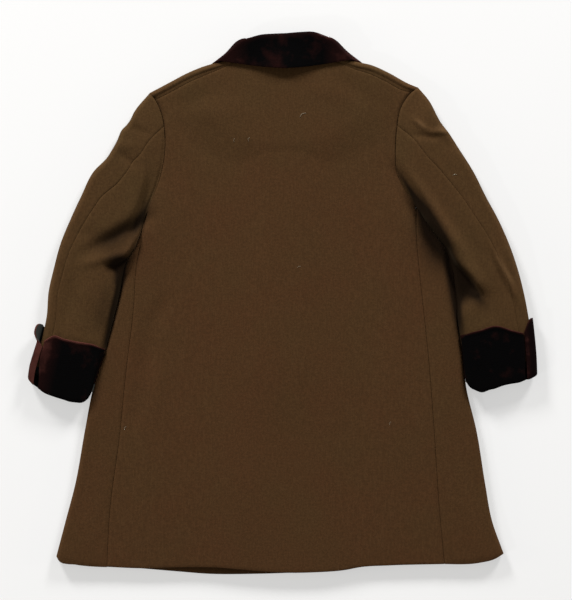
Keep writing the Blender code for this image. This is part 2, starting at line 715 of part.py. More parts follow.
def collar_profile(table, share, sign):
    """Points across the collar at one place: up the fall, over the fold and down the stand."""
    fall_edge, fold, seam = collar_lines(table, share, sign)
    radius = FOLD_HEIGHT / 2
    out, back = unit(fall_edge - fold), unit(seam - fold)
    fall_end, stand_start = fold + out * radius, fold + back * radius
    on_top = table is COLLAR_BACK
    points = []
    for k in range(6):
        spot = blend(fall_edge, fall_end, k / 5)
        lying = body_height(*spot) + LAYER_GAP + VELVET if on_top else 0.0
        height = blend(lying, FOLD_TOP, (k / 5) ** 1.6) if on_top else 0.0
        points.append((spot[0], spot[1], height))
    middle = FOLD_TOP - radius if on_top else radius
    turn = 1 if on_top else -1
    for k in range(1, 6):
        angle = blend(pi / 2, -pi / 2, k / 5)
        spot = blend(fall_end, stand_start, k / 5)
        spot = spot - blend(out, back, k / 5) * radius * cos(angle)
        points.append((spot[0], spot[1], middle + turn * radius * sin(angle)))
    face = FOLD_TOP - FOLD_HEIGHT if on_top else FOLD_HEIGHT
    seam_face = STAND_FACE if on_top else FOLD_HEIGHT
    for k in range(1, 4):
        spot = blend(stand_start, seam, k / 3)
        points.append((spot[0], spot[1], blend(face, seam_face, k / 3)))
    return points


def collar():
    """The collar, all round the neck: its back lies over the back, its ends under the fronts."""
    sections = []
    for sign in (-1, 1):
        below = [collar_profile(COLLAR_FRONT, 1 - k / 5, sign) for k in range(6)]
        above = [collar_profile(COLLAR_BACK, 1 - k / 6, sign) for k in range(7)]
        outward = unit(np.array([sign * COLLAR_OUT[0], COLLAR_OUT[1]]))
        turn = []
        for k in range(1, 6):
            angle = blend(-pi / 2, pi / 2, k / 6)
            section = []
            for low, high in zip(below[-1], above[0]):
                rise = (high[2] - low[2]) / 2
                bulge = min(rise, COLLAR_BULGE[sign])
                spot = blend(np.array(low[:2]), np.array(high[:2]), 0.5 + 0.5 * sin(angle))
                spot = spot + outward * bulge * cos(angle)
                section.append((spot[0], spot[1], low[2] + rise * (1 + sin(angle))))
            turn.append(section)
        sections.append(below + turn + above)
    half, other = sections
    ring = half + other[-2::-1]
    cells = {}
    for column, section in enumerate(ring):
        for row, point in enumerate(section):
            cells[(column, row)] = point
    return cloth("collar", cells, VELVET, velvet("collar"))


def button(number, level):
    """A plain flat button, close under the front that it is sewn to."""
    x = centre_line(level)
    middle = base_height(x, level) - LAYER_GAP - BUTTON_THICKNESS / 2
    bpy.ops.mesh.primitive_cylinder_add(
        vertices=28,
        radius=BUTTON_RADIUS * MM,
        depth=BUTTON_THICKNESS * MM,
        location=(x * MM, level * MM, middle * MM),
    )
    disc = bpy.context.active_object
    disc.name = "button_" + str(number)
    disc.data.name = disc.name
    rim = disc.modifiers.new("Soft rim", "BEVEL")
    rim.width = BUTTON_RIM * MM
    rim.segments = 1
    rim.limit_method = "ANGLE"
    disc.data.materials.append(button_stock(disc.name))
    for home in list(disc.users_collection):
        home.objects.unlink(disc)
    coat.objects.link(disc)
    return disc


def clear_scene():
    for old in list(bpy.data.objects):
        bpy.data.objects.remove(old, do_unlink=True)


clear_scene()
coat = bpy.data.collections.new("Child's overcoat")
bpy.context.scene.collection.children.link(coat)
back_panel()
for hand in ("left", "right"):
    front_panel(hand)
    sleeve_piece(hand, "top")
    sleeve_piece(hand, "under")
    cuff(hand)
collar()
for number, level in enumerate(BUTTON_LEVELS, start=1):
    button(number, level)
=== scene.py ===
# %% [markdown]
# # A child's overcoat, laid flat with its back up
# The coat is cut from thick brown wool, with a dark red velvet collar and turned-back velvet cuffs.
# Each cloth piece is made on the curves that it was cut and sewn to: a net of points on its outer face,
# which the Solidify modifier turns into cloth. Simulating the cloth would be another way, but a coat
# that was smoothed out by hand has only a few creases, and they can be placed one by one.

# %% Start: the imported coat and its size
from math import acos, cos, pi, sin

import bmesh
import bpy
import numpy as np
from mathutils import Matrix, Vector


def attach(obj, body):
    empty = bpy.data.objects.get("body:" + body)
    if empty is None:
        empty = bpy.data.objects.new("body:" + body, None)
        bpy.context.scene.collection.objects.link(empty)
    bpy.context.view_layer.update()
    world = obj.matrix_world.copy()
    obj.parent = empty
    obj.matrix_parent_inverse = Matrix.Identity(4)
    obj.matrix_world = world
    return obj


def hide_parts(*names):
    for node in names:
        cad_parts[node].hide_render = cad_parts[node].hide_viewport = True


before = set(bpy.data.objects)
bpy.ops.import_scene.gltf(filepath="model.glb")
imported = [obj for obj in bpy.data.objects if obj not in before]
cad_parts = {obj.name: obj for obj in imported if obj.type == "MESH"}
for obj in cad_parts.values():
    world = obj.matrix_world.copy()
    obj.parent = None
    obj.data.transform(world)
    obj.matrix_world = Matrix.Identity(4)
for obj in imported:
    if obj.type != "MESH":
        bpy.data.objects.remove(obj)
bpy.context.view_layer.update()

# %% [markdown]
# ## Sizes
# The tables are in millimetres, as a tailor's would be. Every point is multiplied by MM on its way
# into Blender, whose unit here is the metre. X runs across the coat, +Y to the collar, +Z up.

# %% Sizes of the cloth and of the flattened coat
MM = 0.001
WOOL = 2.6
VELVET = 2.0
LAYER_GAP = 0.4
BODY_HEIGHT = 9.6
BODY_ROLL = BODY_HEIGHT / 2
BODY_SAG = 1.2
SLEEVE_HEIGHT = 13.5
SLEEVE_LOW = 8.4
CUFF_HEIGHT = 15.0
SHOULDER_SEAM = 10.0
OVERLAP = 30.0
CENTRE_TOP, CENTRE_HEM = 3.5, -3.0
NECK_Y, HEM_Y = 262.0, -297.0
SIDES = ("left", "right")
print("wool", WOOL, "mm thick, velvet", VELVET, "mm thick, body", BODY_HEIGHT, "mm high")

# %% [markdown]
# ## Outlines
# These are the coat's edges and seams as places on the table, x and y. A smooth line is drawn through
# each table. Tracing with Bezier curves would do as well, but short tables are easier to read and mend.

# %% Body: side edges, side-back seams and armholes, from the hem or the shoulder
EDGE_ROWS = {
    "left": [
        (-248.5, -279), (-238, -239), (-228, -201), (-217, -140), (-208, -94), (-195, -52),
        (-181, 3), (-171, 44), (-163, 59), (-157, 75), (-151, 96),
    ],
    "right": [
        (243, -276), (230, -239), (223, -201), (213, -140), (202, -94), (197, -47), (193, -19),
        (190, 11), (187, 34), (179, 58), (165, 78), (148, 105),
    ],
}
SEAM_ROWS = {
    "left": [
        (-193, -290), (-190, -232), (-179, -146), (-172, -77), (-164, -10), (-160, 44), (-154, 74),
        (-150.2, 95.8),
    ],
    "right": [
        (178, -287), (172, -221), (167, -146), (161, -67), (154, 1), (150, 37), (147, 80),
        (147.3, 104.7),
    ],
}
ARMHOLE_ROWS = {
    "left": [
        (-146, 230), (-139, 221), (-133, 206), (-130, 184), (-131, 162), (-136, 138),
        (-145.8, 111.2), (-149.3, 102.5), (-151, 96),
    ],
    "right": [
        (149, 236), (140, 229), (130, 213), (126, 190), (125, 162), (127, 143), (136.5, 123),
        (143.6, 112.8), (148, 105),
    ],
}
FRONT_ARMHOLE_ROWS = {
    "left": [
        (-146, 230), (-143.1, 226.2), (-137.5, 221.2), (-127.5, 206.5), (-120.5, 176), (-126, 153),
        (-137, 128.5), (-144.5, 111), (-151, 96),
    ],
    "right": [
        (149, 236), (129, 212), (116.5, 180), (119, 150), (129.5, 131.5), (139.5, 117.5),
        (148, 105),
    ],
}

print("places on the side edges:", [len(EDGE_ROWS[side]) for side in SIDES])

# %% Shoulders, neck and hems
SHOULDER_ROWS = {
    "left": [(-146, 230), (-127, 240), (-103, 252.5), (-87, 259), (-72, 263.5), (-54, 270)],
    "right": [(149, 236), (139, 240), (117, 252), (98, 260.5), (80, 264.5), (61, 271)],
}
FRONT_NECK = [(44, 243.5), (28, 228.5), (10, 221.5), (-OVERLAP, 219)]
BACK_NECK = [(-24, NECK_Y - 0.5), (CENTRE_TOP, NECK_Y), (31, NECK_Y - 0.5)]
BACK_HEM = [
    (-193, -290.5), (-162, -292), (-100, -291), (-74, -291.3), (-41, -294), (3, -297), (36, -296.5),
    (69, -294), (85, -291), (118, -289), (178, -287.5),
]
FRONT_HEM_ROWS = {
    "left": [
        (-248.5, -279), (-245, -284.5), (-228, -288), (-162, -292), (-113, -296), (-80, -298.5),
        (-30, -298.5), (3, -297.6), (30, -296.5),
    ],
    "right": [
        (243, -276), (233, -282), (217, -286), (168, -287.5), (118, -288.5), (85, -290),
        (50, -293.5), (0, -295), (-33, -293),
    ],
}
print("back from neck to hem:", NECK_Y - HEM_Y, "mm")

# %% [markdown]
# ## Lines and sheets
# A smooth line through a table is a Hermite spline, read by the share of its length. Four such lines
# that meet at their ends span a sheet, which is called a Coons patch. It is the simplest way to fill
# a cloth piece with an even net whose rim lies exactly on its seams.

# %% Smooth lines
NEARBY = 0.01


def clamp(value, low=0.0, high=1.0):
    return max(low, min(high, value))


def soft_step(value):
    """A soft rise from 0 to 1, for one number or for many."""
    value = np.clip(value, 0.0, 1.0)
    return value * value * (3 - 2 * value)


def blend(start, end, share):
    return start + (end - start) * share


def unit(vector):
    return vector / max(1e-9, float(np.linalg.norm(vector)))


def hermite(places, values, slopes, place):
    """Value at one place on the smooth line through the rows."""
    place = clamp(place, places[0], places[-1])
    row = int(np.searchsorted(places, place, side="right")) - 1
    row = min(max(row, 0), len(places) - 2)
    step = places[row + 1] - places[row]
    t = (place - places[row]) / step
    first = (2 * t**3 - 3 * t**2 + 1) * values[row] + (t**3 - 2 * t**2 + t) * step * slopes[row]
    second = (3 * t**2 - 2 * t**3) * values[row + 1] + (t**3 - t**2) * step * slopes[row + 1]
    return first + second


def line_through(rows):
    """A smooth line through the rows of a table, read by the share of its length."""
    values = np.array(rows, float)
    steps = np.linalg.norm(np.diff(values, axis=0), axis=1)
    places = np.concatenate(([0.0], np.cumsum(steps)))
    places = places / places[-1]
    slopes = np.gradient(values, places, axis=0)
    return lambda share: hermite(places, values, slopes, share)


def reading(rows):
    """A table whose first column is a place, read smoothly at any place."""
    places = np.array([row[0] for row in rows], float)
    values = np.array([row[1:] for row in rows], float)
    slopes = np.gradient(values, places, axis=0)
    return lambda place: hermite(places, values, slopes, place)


# %% Places and directions on a line
def inward(line, share, towards=(0.0, 0.0)):
    """Unit vector square to a line, on the side where a point lies."""
    along = unit(line(min(1.0, share + NEARBY)) - line(max(0.0, share - NEARBY)))
    square = np.array([-along[1], along[0]])
    if np.dot(square, np.array(towards) - line(share)) < 0:
        square = -square
    return square


def halved(low, high, too_low, rounds):
    """Narrows a span down to the place where a test turns from true to false."""
    for _ in range(rounds):
        middle = (low + high) / 2
        if too_low(middle):
            low = middle
        else:
            high = middle
    return low, high


def share_at_level(line, level):
    """Share of a rising line at which it reaches a level in y."""
    low, high = halved(0.0, 1.0, lambda share: line(share)[1] < level, rounds=30)
    return (low + high) / 2


def chain_of(line, count=60):
    """Points along a line at equal shares of it."""
    return np.array([line(k / count) for k in range(count + 1)])


def length_of(line):
    return float(np.sum(np.linalg.norm(np.diff(chain_of(line), axis=0), axis=1)))


def distances_to(chain, places):
    """Shortest distance from each of many places to a chain of points."""
    best = np.full(len(places), 1e9)
    for start, end in zip(chain[:-1], chain[1:]):
        span = end - start
        share = np.clip((places - start) @ span / np.dot(span, span), 0, 1)
        gap = places - start - share[:, None] * span
        best = np.minimum(best, np.hypot(gap[:, 0], gap[:, 1]))
    return best


# %% Sheets between four lines
def patch(left, right, bottom, top):
    """A sheet spanned by four lines that meet at its corners."""
    corners = (left(0), left(1), right(0), right(1))

    def at(u, v):
        across = blend(left(v), right(v), u)
        along = blend(bottom(u), top(u), v)
        corner = blend(blend(corners[0], corners[2], u), blend(corners[1], corners[3], u), v)
        return across + along - corner

    return at


def meeting(line, start, end, reach=0.25):
    """The line, drawn at its two ends to the points where it has to meet its neighbours."""
    start_drift = start - line(0.0)
    end_drift = end - line(1.0)

    def at(share):
        near_start = 1 - soft_step(share / reach)
        near_end = 1 - soft_step((1 - share) / reach)
        return line(share) + start_drift * near_start + end_drift * near_end

    return at


def lines_through(tables):
    """A smooth line for each side of the coat."""
    return {side: line_through(tables[side]) for side in SIDES}


EDGE = lines_through(EDGE_ROWS)
SIDE_SEAM = lines_through(SEAM_ROWS)
ARMHOLE = lines_through(ARMHOLE_ROWS)
FRONT_ARMHOLE = lines_through(FRONT_ARMHOLE_ROWS)
SHOULDER = lines_through(SHOULDER_ROWS)
SIDE_CHAINS = [chain_of(EDGE[side]) for side in SIDES]
print("armholes:", [round(length_of(ARMHOLE[side])) for side in SIDES], "mm along the back")

# %% [markdown]
# ## Creases
# A crease is a soft trough or ridge along a short line: its ends, how wide it is and how high. Its
# section is a bell and it fades out at both ends, so the creases can be added up where they cross.
# Each row was placed one by one, because real creases differ in length, depth and spacing.

# %% Creases of the coat's upper side: x and y of both ends, width, height
CREASES = [
    (-214, 56, -148, 92, 7.0, -4.4),
    (-218, 42, -166, 54, 5.0, 1.6),
    (-147, 128, -170, 62, 5.0, -3.8),
    (-166, 52, -183, -4, 3.4, -2.8),
    (-181, 4, -198, -60, 3.4, -2.8),
    (181, 56, 190, 4, 3.4, -2.8),
    (189, 8, 198, -54, 3.4, -2.8),
    (-228, 78, -196, 70, 9.0, -0.9),
    (-178, 162, -162, 150, 4.5, -1.2),
    (-172, 194, -146, 184, 5.0, -1.0),
    (-184, 172, -160, 172, 6.0, 0.9),
    (-225, 40, -240, -30, 7.0, -0.8),
    (-214, 20, -222, -40, 6.0, 0.7),
    (143, 201, 159, 189, 2.6, 1.7),
    (160, 187, 186, 187, 2.8, 1.7),
    (142, 184, 172, 180, 3.6, -1.2),
    (176, 176, 196, 166, 6.0, -0.8),
    (196, 110, 226, 56, 7.0, 0.8),
    (230, 60, 258, 2, 3.6, 2.2),
    (222, 66, 250, 6, 4.0, -0.8),
    (216, 30, 236, -22, 7.0, -0.9),
    (-127, 6, -148, -36, 9.0, -1.2),
    (-147, -36, -152, -88, 9.0, -1.4),
    (-152, -88, -164, -140, 10.0, -1.0),
    (-134, -60, -140, -130, 8.0, 0.6),
    (132, 120, 180, 40, 9.0, -3.4),
    (122, 150, 146, 98, 7.0, -2.4),
    (144, 134, 208, 42, 6.0, 3.4),
    (134, 140, 168, 84, 4.0, -1.5),
    (-120, 214, -70, 232, 9.0, -0.8),
    (-96, 205, -40, 212, 12.0, 0.6),
    (62, 246, 112, 214, 9.0, -0.7),
    (30, 240, 70, 224, 12.0, 0.6),
    (60, -120, 70, -230, 16.0, -0.7),
    (-40, -150, -34, -270, 18.0, 0.7),
    (118, -60, 128, -190, 14.0, 0.6),
    (-205, -150, -222, -250, 10.0, -0.8),
    (196, -120, 214, -230, 10.0, -0.8),
]
UNDER_CREASES = [
    (-150, 60, -90, 110, 10.0, 1.4),
    (140, 70, 90, 120, 9.0, 1.2),
    (-120, -200, -90, -290, 14.0, 1.0),
    (90, -210, 110, -290, 12.0, 1.1),
    (-190, 150, -160, 100, 7.0, 1.0),
    (195, 150, 170, 100, 7.0, 1.0),
]


def relief(places, rows):
    """Height that the creases of a table add at many places."""
    total = np.zeros(len(places))
    for x0, y0, x1, y1, width, height in rows:
        start, span = np.array([x0, y0]), np.array([x1 - x0, y1 - y0])
        length = np.hypot(*span)
        along = (places - start) @ span / length**2
        across = ((places - start) @ np.array([-span[1], span[0]])) / length
        taper = np.exp(-(np.abs(along - 0.5) / 0.5) ** 3)
        total += height * taper * np.exp(-((across / width) ** 2))
    return total


print(len(CREASES), "creases on top,", len(UNDER_CREASES), "underneath")

# %% [markdown]
# ## Painted shade in the folds
# Deep in the folds beside the sleeves, shade is painted into the wool's colour, and highlights are
# painted on some ridges and along the sleeves' outer edges. The rows below are like those of the
# creases, but their last value is a shade: above nought for painted shade in a fold, below it for a
# painted highlight on a ridge. Light alone would leave the folds by the sleeves too pale.

# %% Painted shades and highlights of the wool: x and y of both ends, width, shade
FOLD_SHADES = [
    (-206, 60, -152, 95, 8.0, 0.75),
    (-163, 74, -146, 114, 5.0, 0.8),
    (-194, 41, -168, 48, 7.0, 1.3),
    (-198, 50, -158, 76, 12.0, 0.42),
    (-178, 46, -180, 16, 6.5, 1.1),
    (-174, 36, -188, -16, 3.4, 1.2),
    (-185, -8, -197, -58, 3.0, 1.1),
    (-190, 20, -202, -34, 10.0, 0.4),
    (126, 146, 152, 104, 2.6, 0.8),
    (144, 118, 184, 52, 8.5, 1.5),
    (148, 92, 176, 34, 13.0, 0.75),
    (183, 52, 197, -44, 5.5, 1.2),
    (183, 47, 221, -2, 6.0, 1.2),
    (187, 42, 198, 2, 9.0, 0.8),
    (194, 30, 206, -6, 14.0, 0.45),
    (148, 199, 157, 190, 3.2, -0.8),
    (169, 194, 182, 186, 3.2, -0.7),
    (236, 49, 254, 20, 2.6, -0.9),
    (-168, 52, -197, 41, 2.6, -0.5),
    (-252, 36, -261, -22, 3.0, -0.6),
    (246, 74, 272, -8, 4.0, -0.4),
]
SHADE_START, SHADE_FADE = 1.0, 3.0


# Painted light: the value is painted shade where it is above nought and painted highlight where below.
def fold_shade(cells):
    """How much shade is painted into the wool's folds, and highlight onto its ridges, at the points of
    a net.
    """
    points = np.array(list(cells.values()), float)
    upper = soft_step((points[:, 2] - SHADE_START) / SHADE_FADE)
    shades = np.clip(upper * relief(points[:, :2], FOLD_SHADES), -1.0, 1.0)
    return dict(zip(cells, shades))


# Rows of painted shade in folds and of painted highlight on ridges.
print(len(FOLD_SHADES), "dark folds and faded ridges")

# %% [markdown]
# ## Heights of the flattened body
# Pressed flat, the body is two layers of wool with rounded sides. Velvet and buttons lie under its
# fronts and lift them a little, and the cloth sags between the thick edges.

# %% Height functions
COLLAR_ROOM, BUTTON_ROOM = VELVET + 0.6, 1.9
COLLAR_MIDDLE, COLLAR_REACH, COLLAR_FADE = 238.0, (88.0, 60.0), 0.6
BUTTON_STRIP, STRIP_FADE = 13.0, 40.0
BUTTONS_START, BUTTONS_FADE = -160.0, 100.0
SAG_OFF_CENTRE, SAG_OFF_SIDE = (45.0, 50.0), (12.0, 40.0)


def centre_line(y):
    return blend(CENTRE_HEM, CENTRE_TOP, (y - HEM_Y) / (NECK_Y - HEM_Y))


def base_heights(places):
    """Height of the coat's underside, which the collar and the buttons lift off the surface."""
    x, y = places[:, 0], places[:, 1]
    reach = np.hypot((x - CENTRE_TOP) / COLLAR_REACH[0], (y - COLLAR_MIDDLE) / COLLAR_REACH[1])
    collar = COLLAR_ROOM * (1 - soft_step((reach - 1.0) / COLLAR_FADE))
    strip = 1 - soft_step((np.abs(x - centre_line(y)) - BUTTON_STRIP) / STRIP_FADE)
    return np.maximum(collar, BUTTON_ROOM * strip * soft_step((y - BUTTONS_START) / BUTTONS_FADE))


def body_heights(places):
    """Height of the body's upper face: full inside, falling round at the sides."""
    near = np.min([distances_to(chain, places) for chain in SIDE_CHAINS], axis=0)
    off_centre = np.abs(places[:, 0] - centre_line(places[:, 1]))
    sag = soft_step((off_centre - SAG_OFF_CENTRE[0]) / SAG_OFF_CENTRE[1])
    sag *= BODY_SAG * soft_step((near - SAG_OFF_SIDE[0]) / SAG_OFF_SIDE[1])
    depth = np.clip(near / BODY_ROLL, 0, 1)
    round_side = 0.5 + 0.5 * np.sqrt(1 - (1 - depth) ** 2)
    return base_heights(places) + (BODY_HEIGHT - sag) * round_side


def body_height(place):
    return float(body_heights(np.array([place], float))[0])


def base_height(place):
    return float(base_heights(np.array([place], float))[0])


def on_body(spots):
    """The same places, lifted to the body's upper face."""
    return [(spot[0], spot[1], z) for spot, z in zip(spots, body_heights(np.array(spots)))]


print("body at its middle:", round(body_height((CENTRE_TOP, 0.0)), 1), "mm high")

# %% [markdown]
# ## Seams
# Along a seam both pieces turn down into it, so a seam shows as a fine groove. The groove's height
# depends on the distance to the nearest seam, and it is worked out for all points of a piece at once.

# %% The groove at a seam
SEAM_DEPTH, SEAM_WIDTH = 1.1, 1.5
SIDE_STRENGTH, ARMHOLE_STRENGTH, SHOULDER_STRENGTH = 0.45, 1.1, 0.2
NECK_DRAW, DRAW_START = 0.6, 0.55
ARMHOLE_END, SHOULDER_EASE = 0.06, 0.3


def shoulder_square(side, share):
    """Way in from the shoulder's fold: along the armhole at its end, square to the fold elsewhere."""
    along_armhole = unit(ARMHOLE[side](ARMHOLE_END) - ARMHOLE[side](0.0))
    square = inward(SHOULDER[side], share)
    return unit(blend(along_armhole, square, float(soft_step(share / SHOULDER_EASE))))


def drawn_in(inset, share):
    """The shoulder seam runs nearer to the fold at the neck, where the collar covers its end."""
    near_neck = float(soft_step((share - DRAW_START) / (1 - DRAW_START)))
    return inset - NECK_DRAW * max(0.0, inset - BODY_ROLL) * near_neck


def shoulder_line(side, inset):
    """A line inside the shoulder's fold, from the armhole to the neck."""
    return lambda share: SHOULDER[side](share) + shoulder_square(side, share) * drawn_in(inset, share)


SEAM_CHAINS = []
for side in SIDES:
    SEAM_CHAINS.append((chain_of(SIDE_SEAM[side]), SIDE_STRENGTH))
    SEAM_CHAINS.append((chain_of(ARMHOLE[side]), ARMHOLE_STRENGTH))
    SEAM_CHAINS.append((chain_of(shoulder_line(side, SHOULDER_SEAM)), SHOULDER_STRENGTH))


def seam_groove(places):
    """How deep the seams press the cloth down at many places."""
    depth = np.zeros(len(places))
    for chain, strength in SEAM_CHAINS:
        near = distances_to(chain, places)
        depth = np.maximum(depth, SEAM_DEPTH * strength * np.exp(-((near / SEAM_WIDTH) ** 2)))
    return depth


print(len(SEAM_CHAINS), "seams on the body,", SEAM_DEPTH, "mm deep")

# %% [markdown]
# ## Finishes
# All colour comes from procedural nodes read in the coat's own space, so it stays in place from every
# side and needs no unwrapping. Painting textures would be slower to change. Numbers that hold for the
# whole surface are set on the shader itself.

# %% Small helpers for node trees
def new_finish(name, roughness):
    """An empty finish: its node tree, its shader and a socket with places in the coat's space."""
    material = bpy.data.materials.new(name)
    material.use_nodes = True
    tree = material.node_tree
    shader = tree.nodes["Principled BSDF"]
    shader.inputs["Roughness"].default_value = roughness
    places = tree.nodes.new("ShaderNodeTexCoord").outputs["Object"]
    return material, tree, shader, places


def noise(tree, places, scale, detail=2.0, roughness=0.5):
    """Cloudy pattern; scale is how many clouds fit in a metre."""
    node = tree.nodes.new("ShaderNodeTexNoise")
    node.inputs["Scale"].default_value = scale
    node.inputs["Detail"].default_value = detail
    node.inputs["Roughness"].default_value = roughness
    tree.links.new(places, node.inputs["Vector"])
    return node.outputs["Fac"]


def stretched(tree, places, x, y, z):
    """Places scaled apart, so that a pattern read from them is drawn out into streaks."""
    node = tree.nodes.new("ShaderNodeMapping")
    node.inputs["Scale"].default_value = (x, y, z)
    tree.links.new(places, node.inputs["Vector"])
    return node.outputs["Vector"]


def ranged(tree, value, low, high, start=0.0, end=1.0):
    """Turns the span from low to high into the span from start to end, cut off outside."""
    node = tree.nodes.new("ShaderNodeMapRange")
    for name, number in (("From Min", low), ("From Max", high), ("To Min", start), ("To Max", end)):
        node.inputs[name].default_value = number
    tree.links.new(value, node.inputs["Value"])
    return node.outputs["Result"]


def mixed(tree, share, first, second, way="MIX"):
    """Mixes two colours; each is a colour or the output of a node."""
    node = tree.nodes.new("ShaderNodeMix")
    node.data_type = "RGBA"
    node.blend_type = way
    for socket, colour in ((node.inputs[6], first), (node.inputs[7], second)):
        if isinstance(colour, tuple):
            socket.default_value = (*colour, 1.0)
        else:
            tree.links.new(colour, socket)
    if isinstance(share, float):
        node.inputs[0].default_value = share
    else:
        tree.links.new(share, node.inputs[0])
    return node.outputs[2]


def combined(tree, first, second, way="ADD"):
    """Sum, product or other combination of two values."""
    node = tree.nodes.new("ShaderNodeMath")
    node.operation = way
    for socket, value in ((node.inputs[0], first), (node.inputs[1], second)):
        if isinstance(value, float):
            socket.default_value = value
        else:
            tree.links.new(value, socket)
    return node.outputs[0]


def raised(tree, shader, height, depth, strength):
    """Small relief of the surface from a pattern."""
    node = tree.nodes.new("ShaderNodeBump")
    node.inputs["Distance"].default_value = depth
    node.inputs["Strength"].default_value = strength
    tree.links.new(height, node.inputs["Height"])
    tree.links.new(node.outputs["Normal"], shader.inputs["Normal"])


def fibrous(shader, weight, roughness, tint, specular):
    """The faint sheen of a cloth's loose fibres, and how little it shines."""
    shader.inputs["Sheen Weight"].default_value = weight
    shader.inputs["Sheen Roughness"].default_value = roughness
    shader.inputs["Sheen Tint"].default_value = (*tint, 1.0)
    shader.inputs["Specular IOR Level"].default_value = specular


def carried(tree):
    """Value at the points of a cloth piece: on velvet rubbing and painted sheen, on wool painted shade
    and highlight.
    """
    node = tree.nodes.new("ShaderNodeAttribute")
    node.attribute_name = "wear_and_painted_light"
    return node.outputs["Fac"]


def clouded(name, roughness, scales, colours, relief=None, detail=2.0, grain=0.5, span=(0.0, 1.0)):
    """A finish of two colours in fine clouds or streaks, which may also raise the surface."""
    material, tree, shader, places = new_finish(name, roughness)
    clouds = noise(tree, stretched(tree, places, *scales), 1.0, detail, grain)
    tree.links.new(mixed(tree, ranged(tree, clouds, *span), *colours), shader.inputs["Base Color"])
    if relief:
        raised(tree, shader, clouds, *relief)
    return material


# %% [markdown]
# ## Wool
# The cloth is a heavy milled wool: its weave is all but hidden under a short nap. Its brown turns to
# olive in soft patches, more so over the shoulders and on the sleeves. Three noises do it: a wide one
# for the patches, one for the mottling of the nap, and one drawn out into fine streaks of the warp.
# Then the shade that each point of a piece carries paints shade into the folds and highlights onto the
# ridges.

# %% Wool finish
WARM_BROWN = (0.0590, 0.0262, 0.0102)
OLIVE_BROWN = (0.0540, 0.0300, 0.0110)
DEEP_BROWN = (0.0310, 0.0155, 0.0062)
# Pale nap tips of the warp streaks; the same colour is the painted highlight on ridges.
NAP_TIPS_AND_HIGHLIGHT = (0.100, 0.055, 0.024)
# Painted shade: the near-black brown that the folds are painted with.
PAINTED_SHADE_BROWN = (0.0030, 0.0016, 0.0009)
WOOL_SHEEN = (0.80, 0.60, 0.35)
PATCH_SCALE, PATCH_SPAN, PATCH_SPREAD = 16.0, (0.35, 0.68), 0.25
SHOULDER_SPAN = (0.10, 0.27)
NAP_SCALE, NAP_SPAN, NAP_DARK = 420.0, (0.40, 0.62), 0.42
WARP_SCALES, WARP_SPAN, WARP_PALE = (900.0, 110.0, 300.0), (0.45, 0.75), 0.16
PAINTED_HIGHLIGHT_MOST, PAINTED_SHADE_MOST = 0.55, 0.9


def wool_finish(name, olive, top_olive):
    """Wool that is olive to a share, and more so over the shoulders."""
    material, tree, shader, places = new_finish(name, 0.92)
    fibrous(shader, 0.03, 0.5, WOOL_SHEEN, 0.04)
    split = tree.nodes.new("ShaderNodeSeparateXYZ")
    tree.links.new(places, split.inputs["Vector"])
    clouds = noise(tree, places, PATCH_SCALE, 3.0)
    patches = ranged(tree, clouds, *PATCH_SPAN, olive - PATCH_SPREAD, olive + PATCH_SPREAD)
    upper = ranged(tree, split.outputs["Y"], *SHOULDER_SPAN, 0.0, top_olive)
    hue = mixed(tree, combined(tree, patches, upper), WARM_BROWN, OLIVE_BROWN)
    nap = noise(tree, places, NAP_SCALE, 3.0, 0.6)
    dark = ranged(tree, nap, *NAP_SPAN, NAP_DARK, 0.0)
    mottled = mixed(tree, dark, hue, DEEP_BROWN)
    warp = noise(tree, stretched(tree, places, *WARP_SCALES), 1.0, 2.0)
    streaked = mixed(tree, ranged(tree, warp, *WARP_SPAN, 0.0, WARP_PALE), mottled, NAP_TIPS_AND_HIGHLIGHT)
    # Painted light: the carried shade paints shade into the folds and highlights onto the ridges.
    shade = carried(tree)
    painted_highlight = mixed(tree, ranged(tree, shade, -1.0, 0.0, PAINTED_HIGHLIGHT_MOST, 0.0), streaked, NAP_TIPS_AND_HIGHLIGHT)
    folded = mixed(tree, ranged(tree, shade, 0.0, 1.0, 0.0, PAINTED_SHADE_MOST), painted_highlight, PAINTED_SHADE_BROWN)
    tree.links.new(folded, shader.inputs["Base Color"])
    raised(tree, shader, combined(tree, nap, warp), 0.0005, 0.45)
    return material


BODY_WOOL = wool_finish("body_wool", 0.22, 0.55)
SIDE_WOOL = wool_finish("side_wool", 0.35, 0.4)
SLEEVE_WOOL = wool_finish("sleeve_wool", 0.75, 0.2)
print("wool finishes:", BODY_WOOL.name, SIDE_WOOL.name, SLEEVE_WOOL.name)

# %% [markdown]
# ## Velvet and lining
# Velvet looks black where its pile stands up, and red where the pile leans over or has rubbed away
# along an edge. Soft clouds of a noise say where it leans. A value that each point of a velvet
# piece carries says where it is rubbed, and also where a red sheen is painted: along the cuffs'
# outer sides and flaps, and along the collar's fold. On the cuffs' free edges it is partly rubbing
# and partly a painted highlight. A fine noise raises the pile.

# %% Velvet finish and the dull lining inside the cuffs
PILE_BLACK = (0.0010, 0.0009, 0.0010)
PILE_RED = (0.0170, 0.0042, 0.0034)
# Rubbed red, which is also the colour of the painted sheen and painted highlight.
RUBBED_AND_SHEEN_RED = (0.066, 0.0215, 0.0165)
VELVET_SHEEN = (0.40, 0.08, 0.06)
PILE_SCALE, FUR_SCALE = 38.0, 900.0
LEANING_SPAN, WORN_AND_SHEEN_SPAN, RUBBED_AND_SHEEN_SPAN = (0.56, 0.95), (0.15, 0.9), (0.95, 1.50)


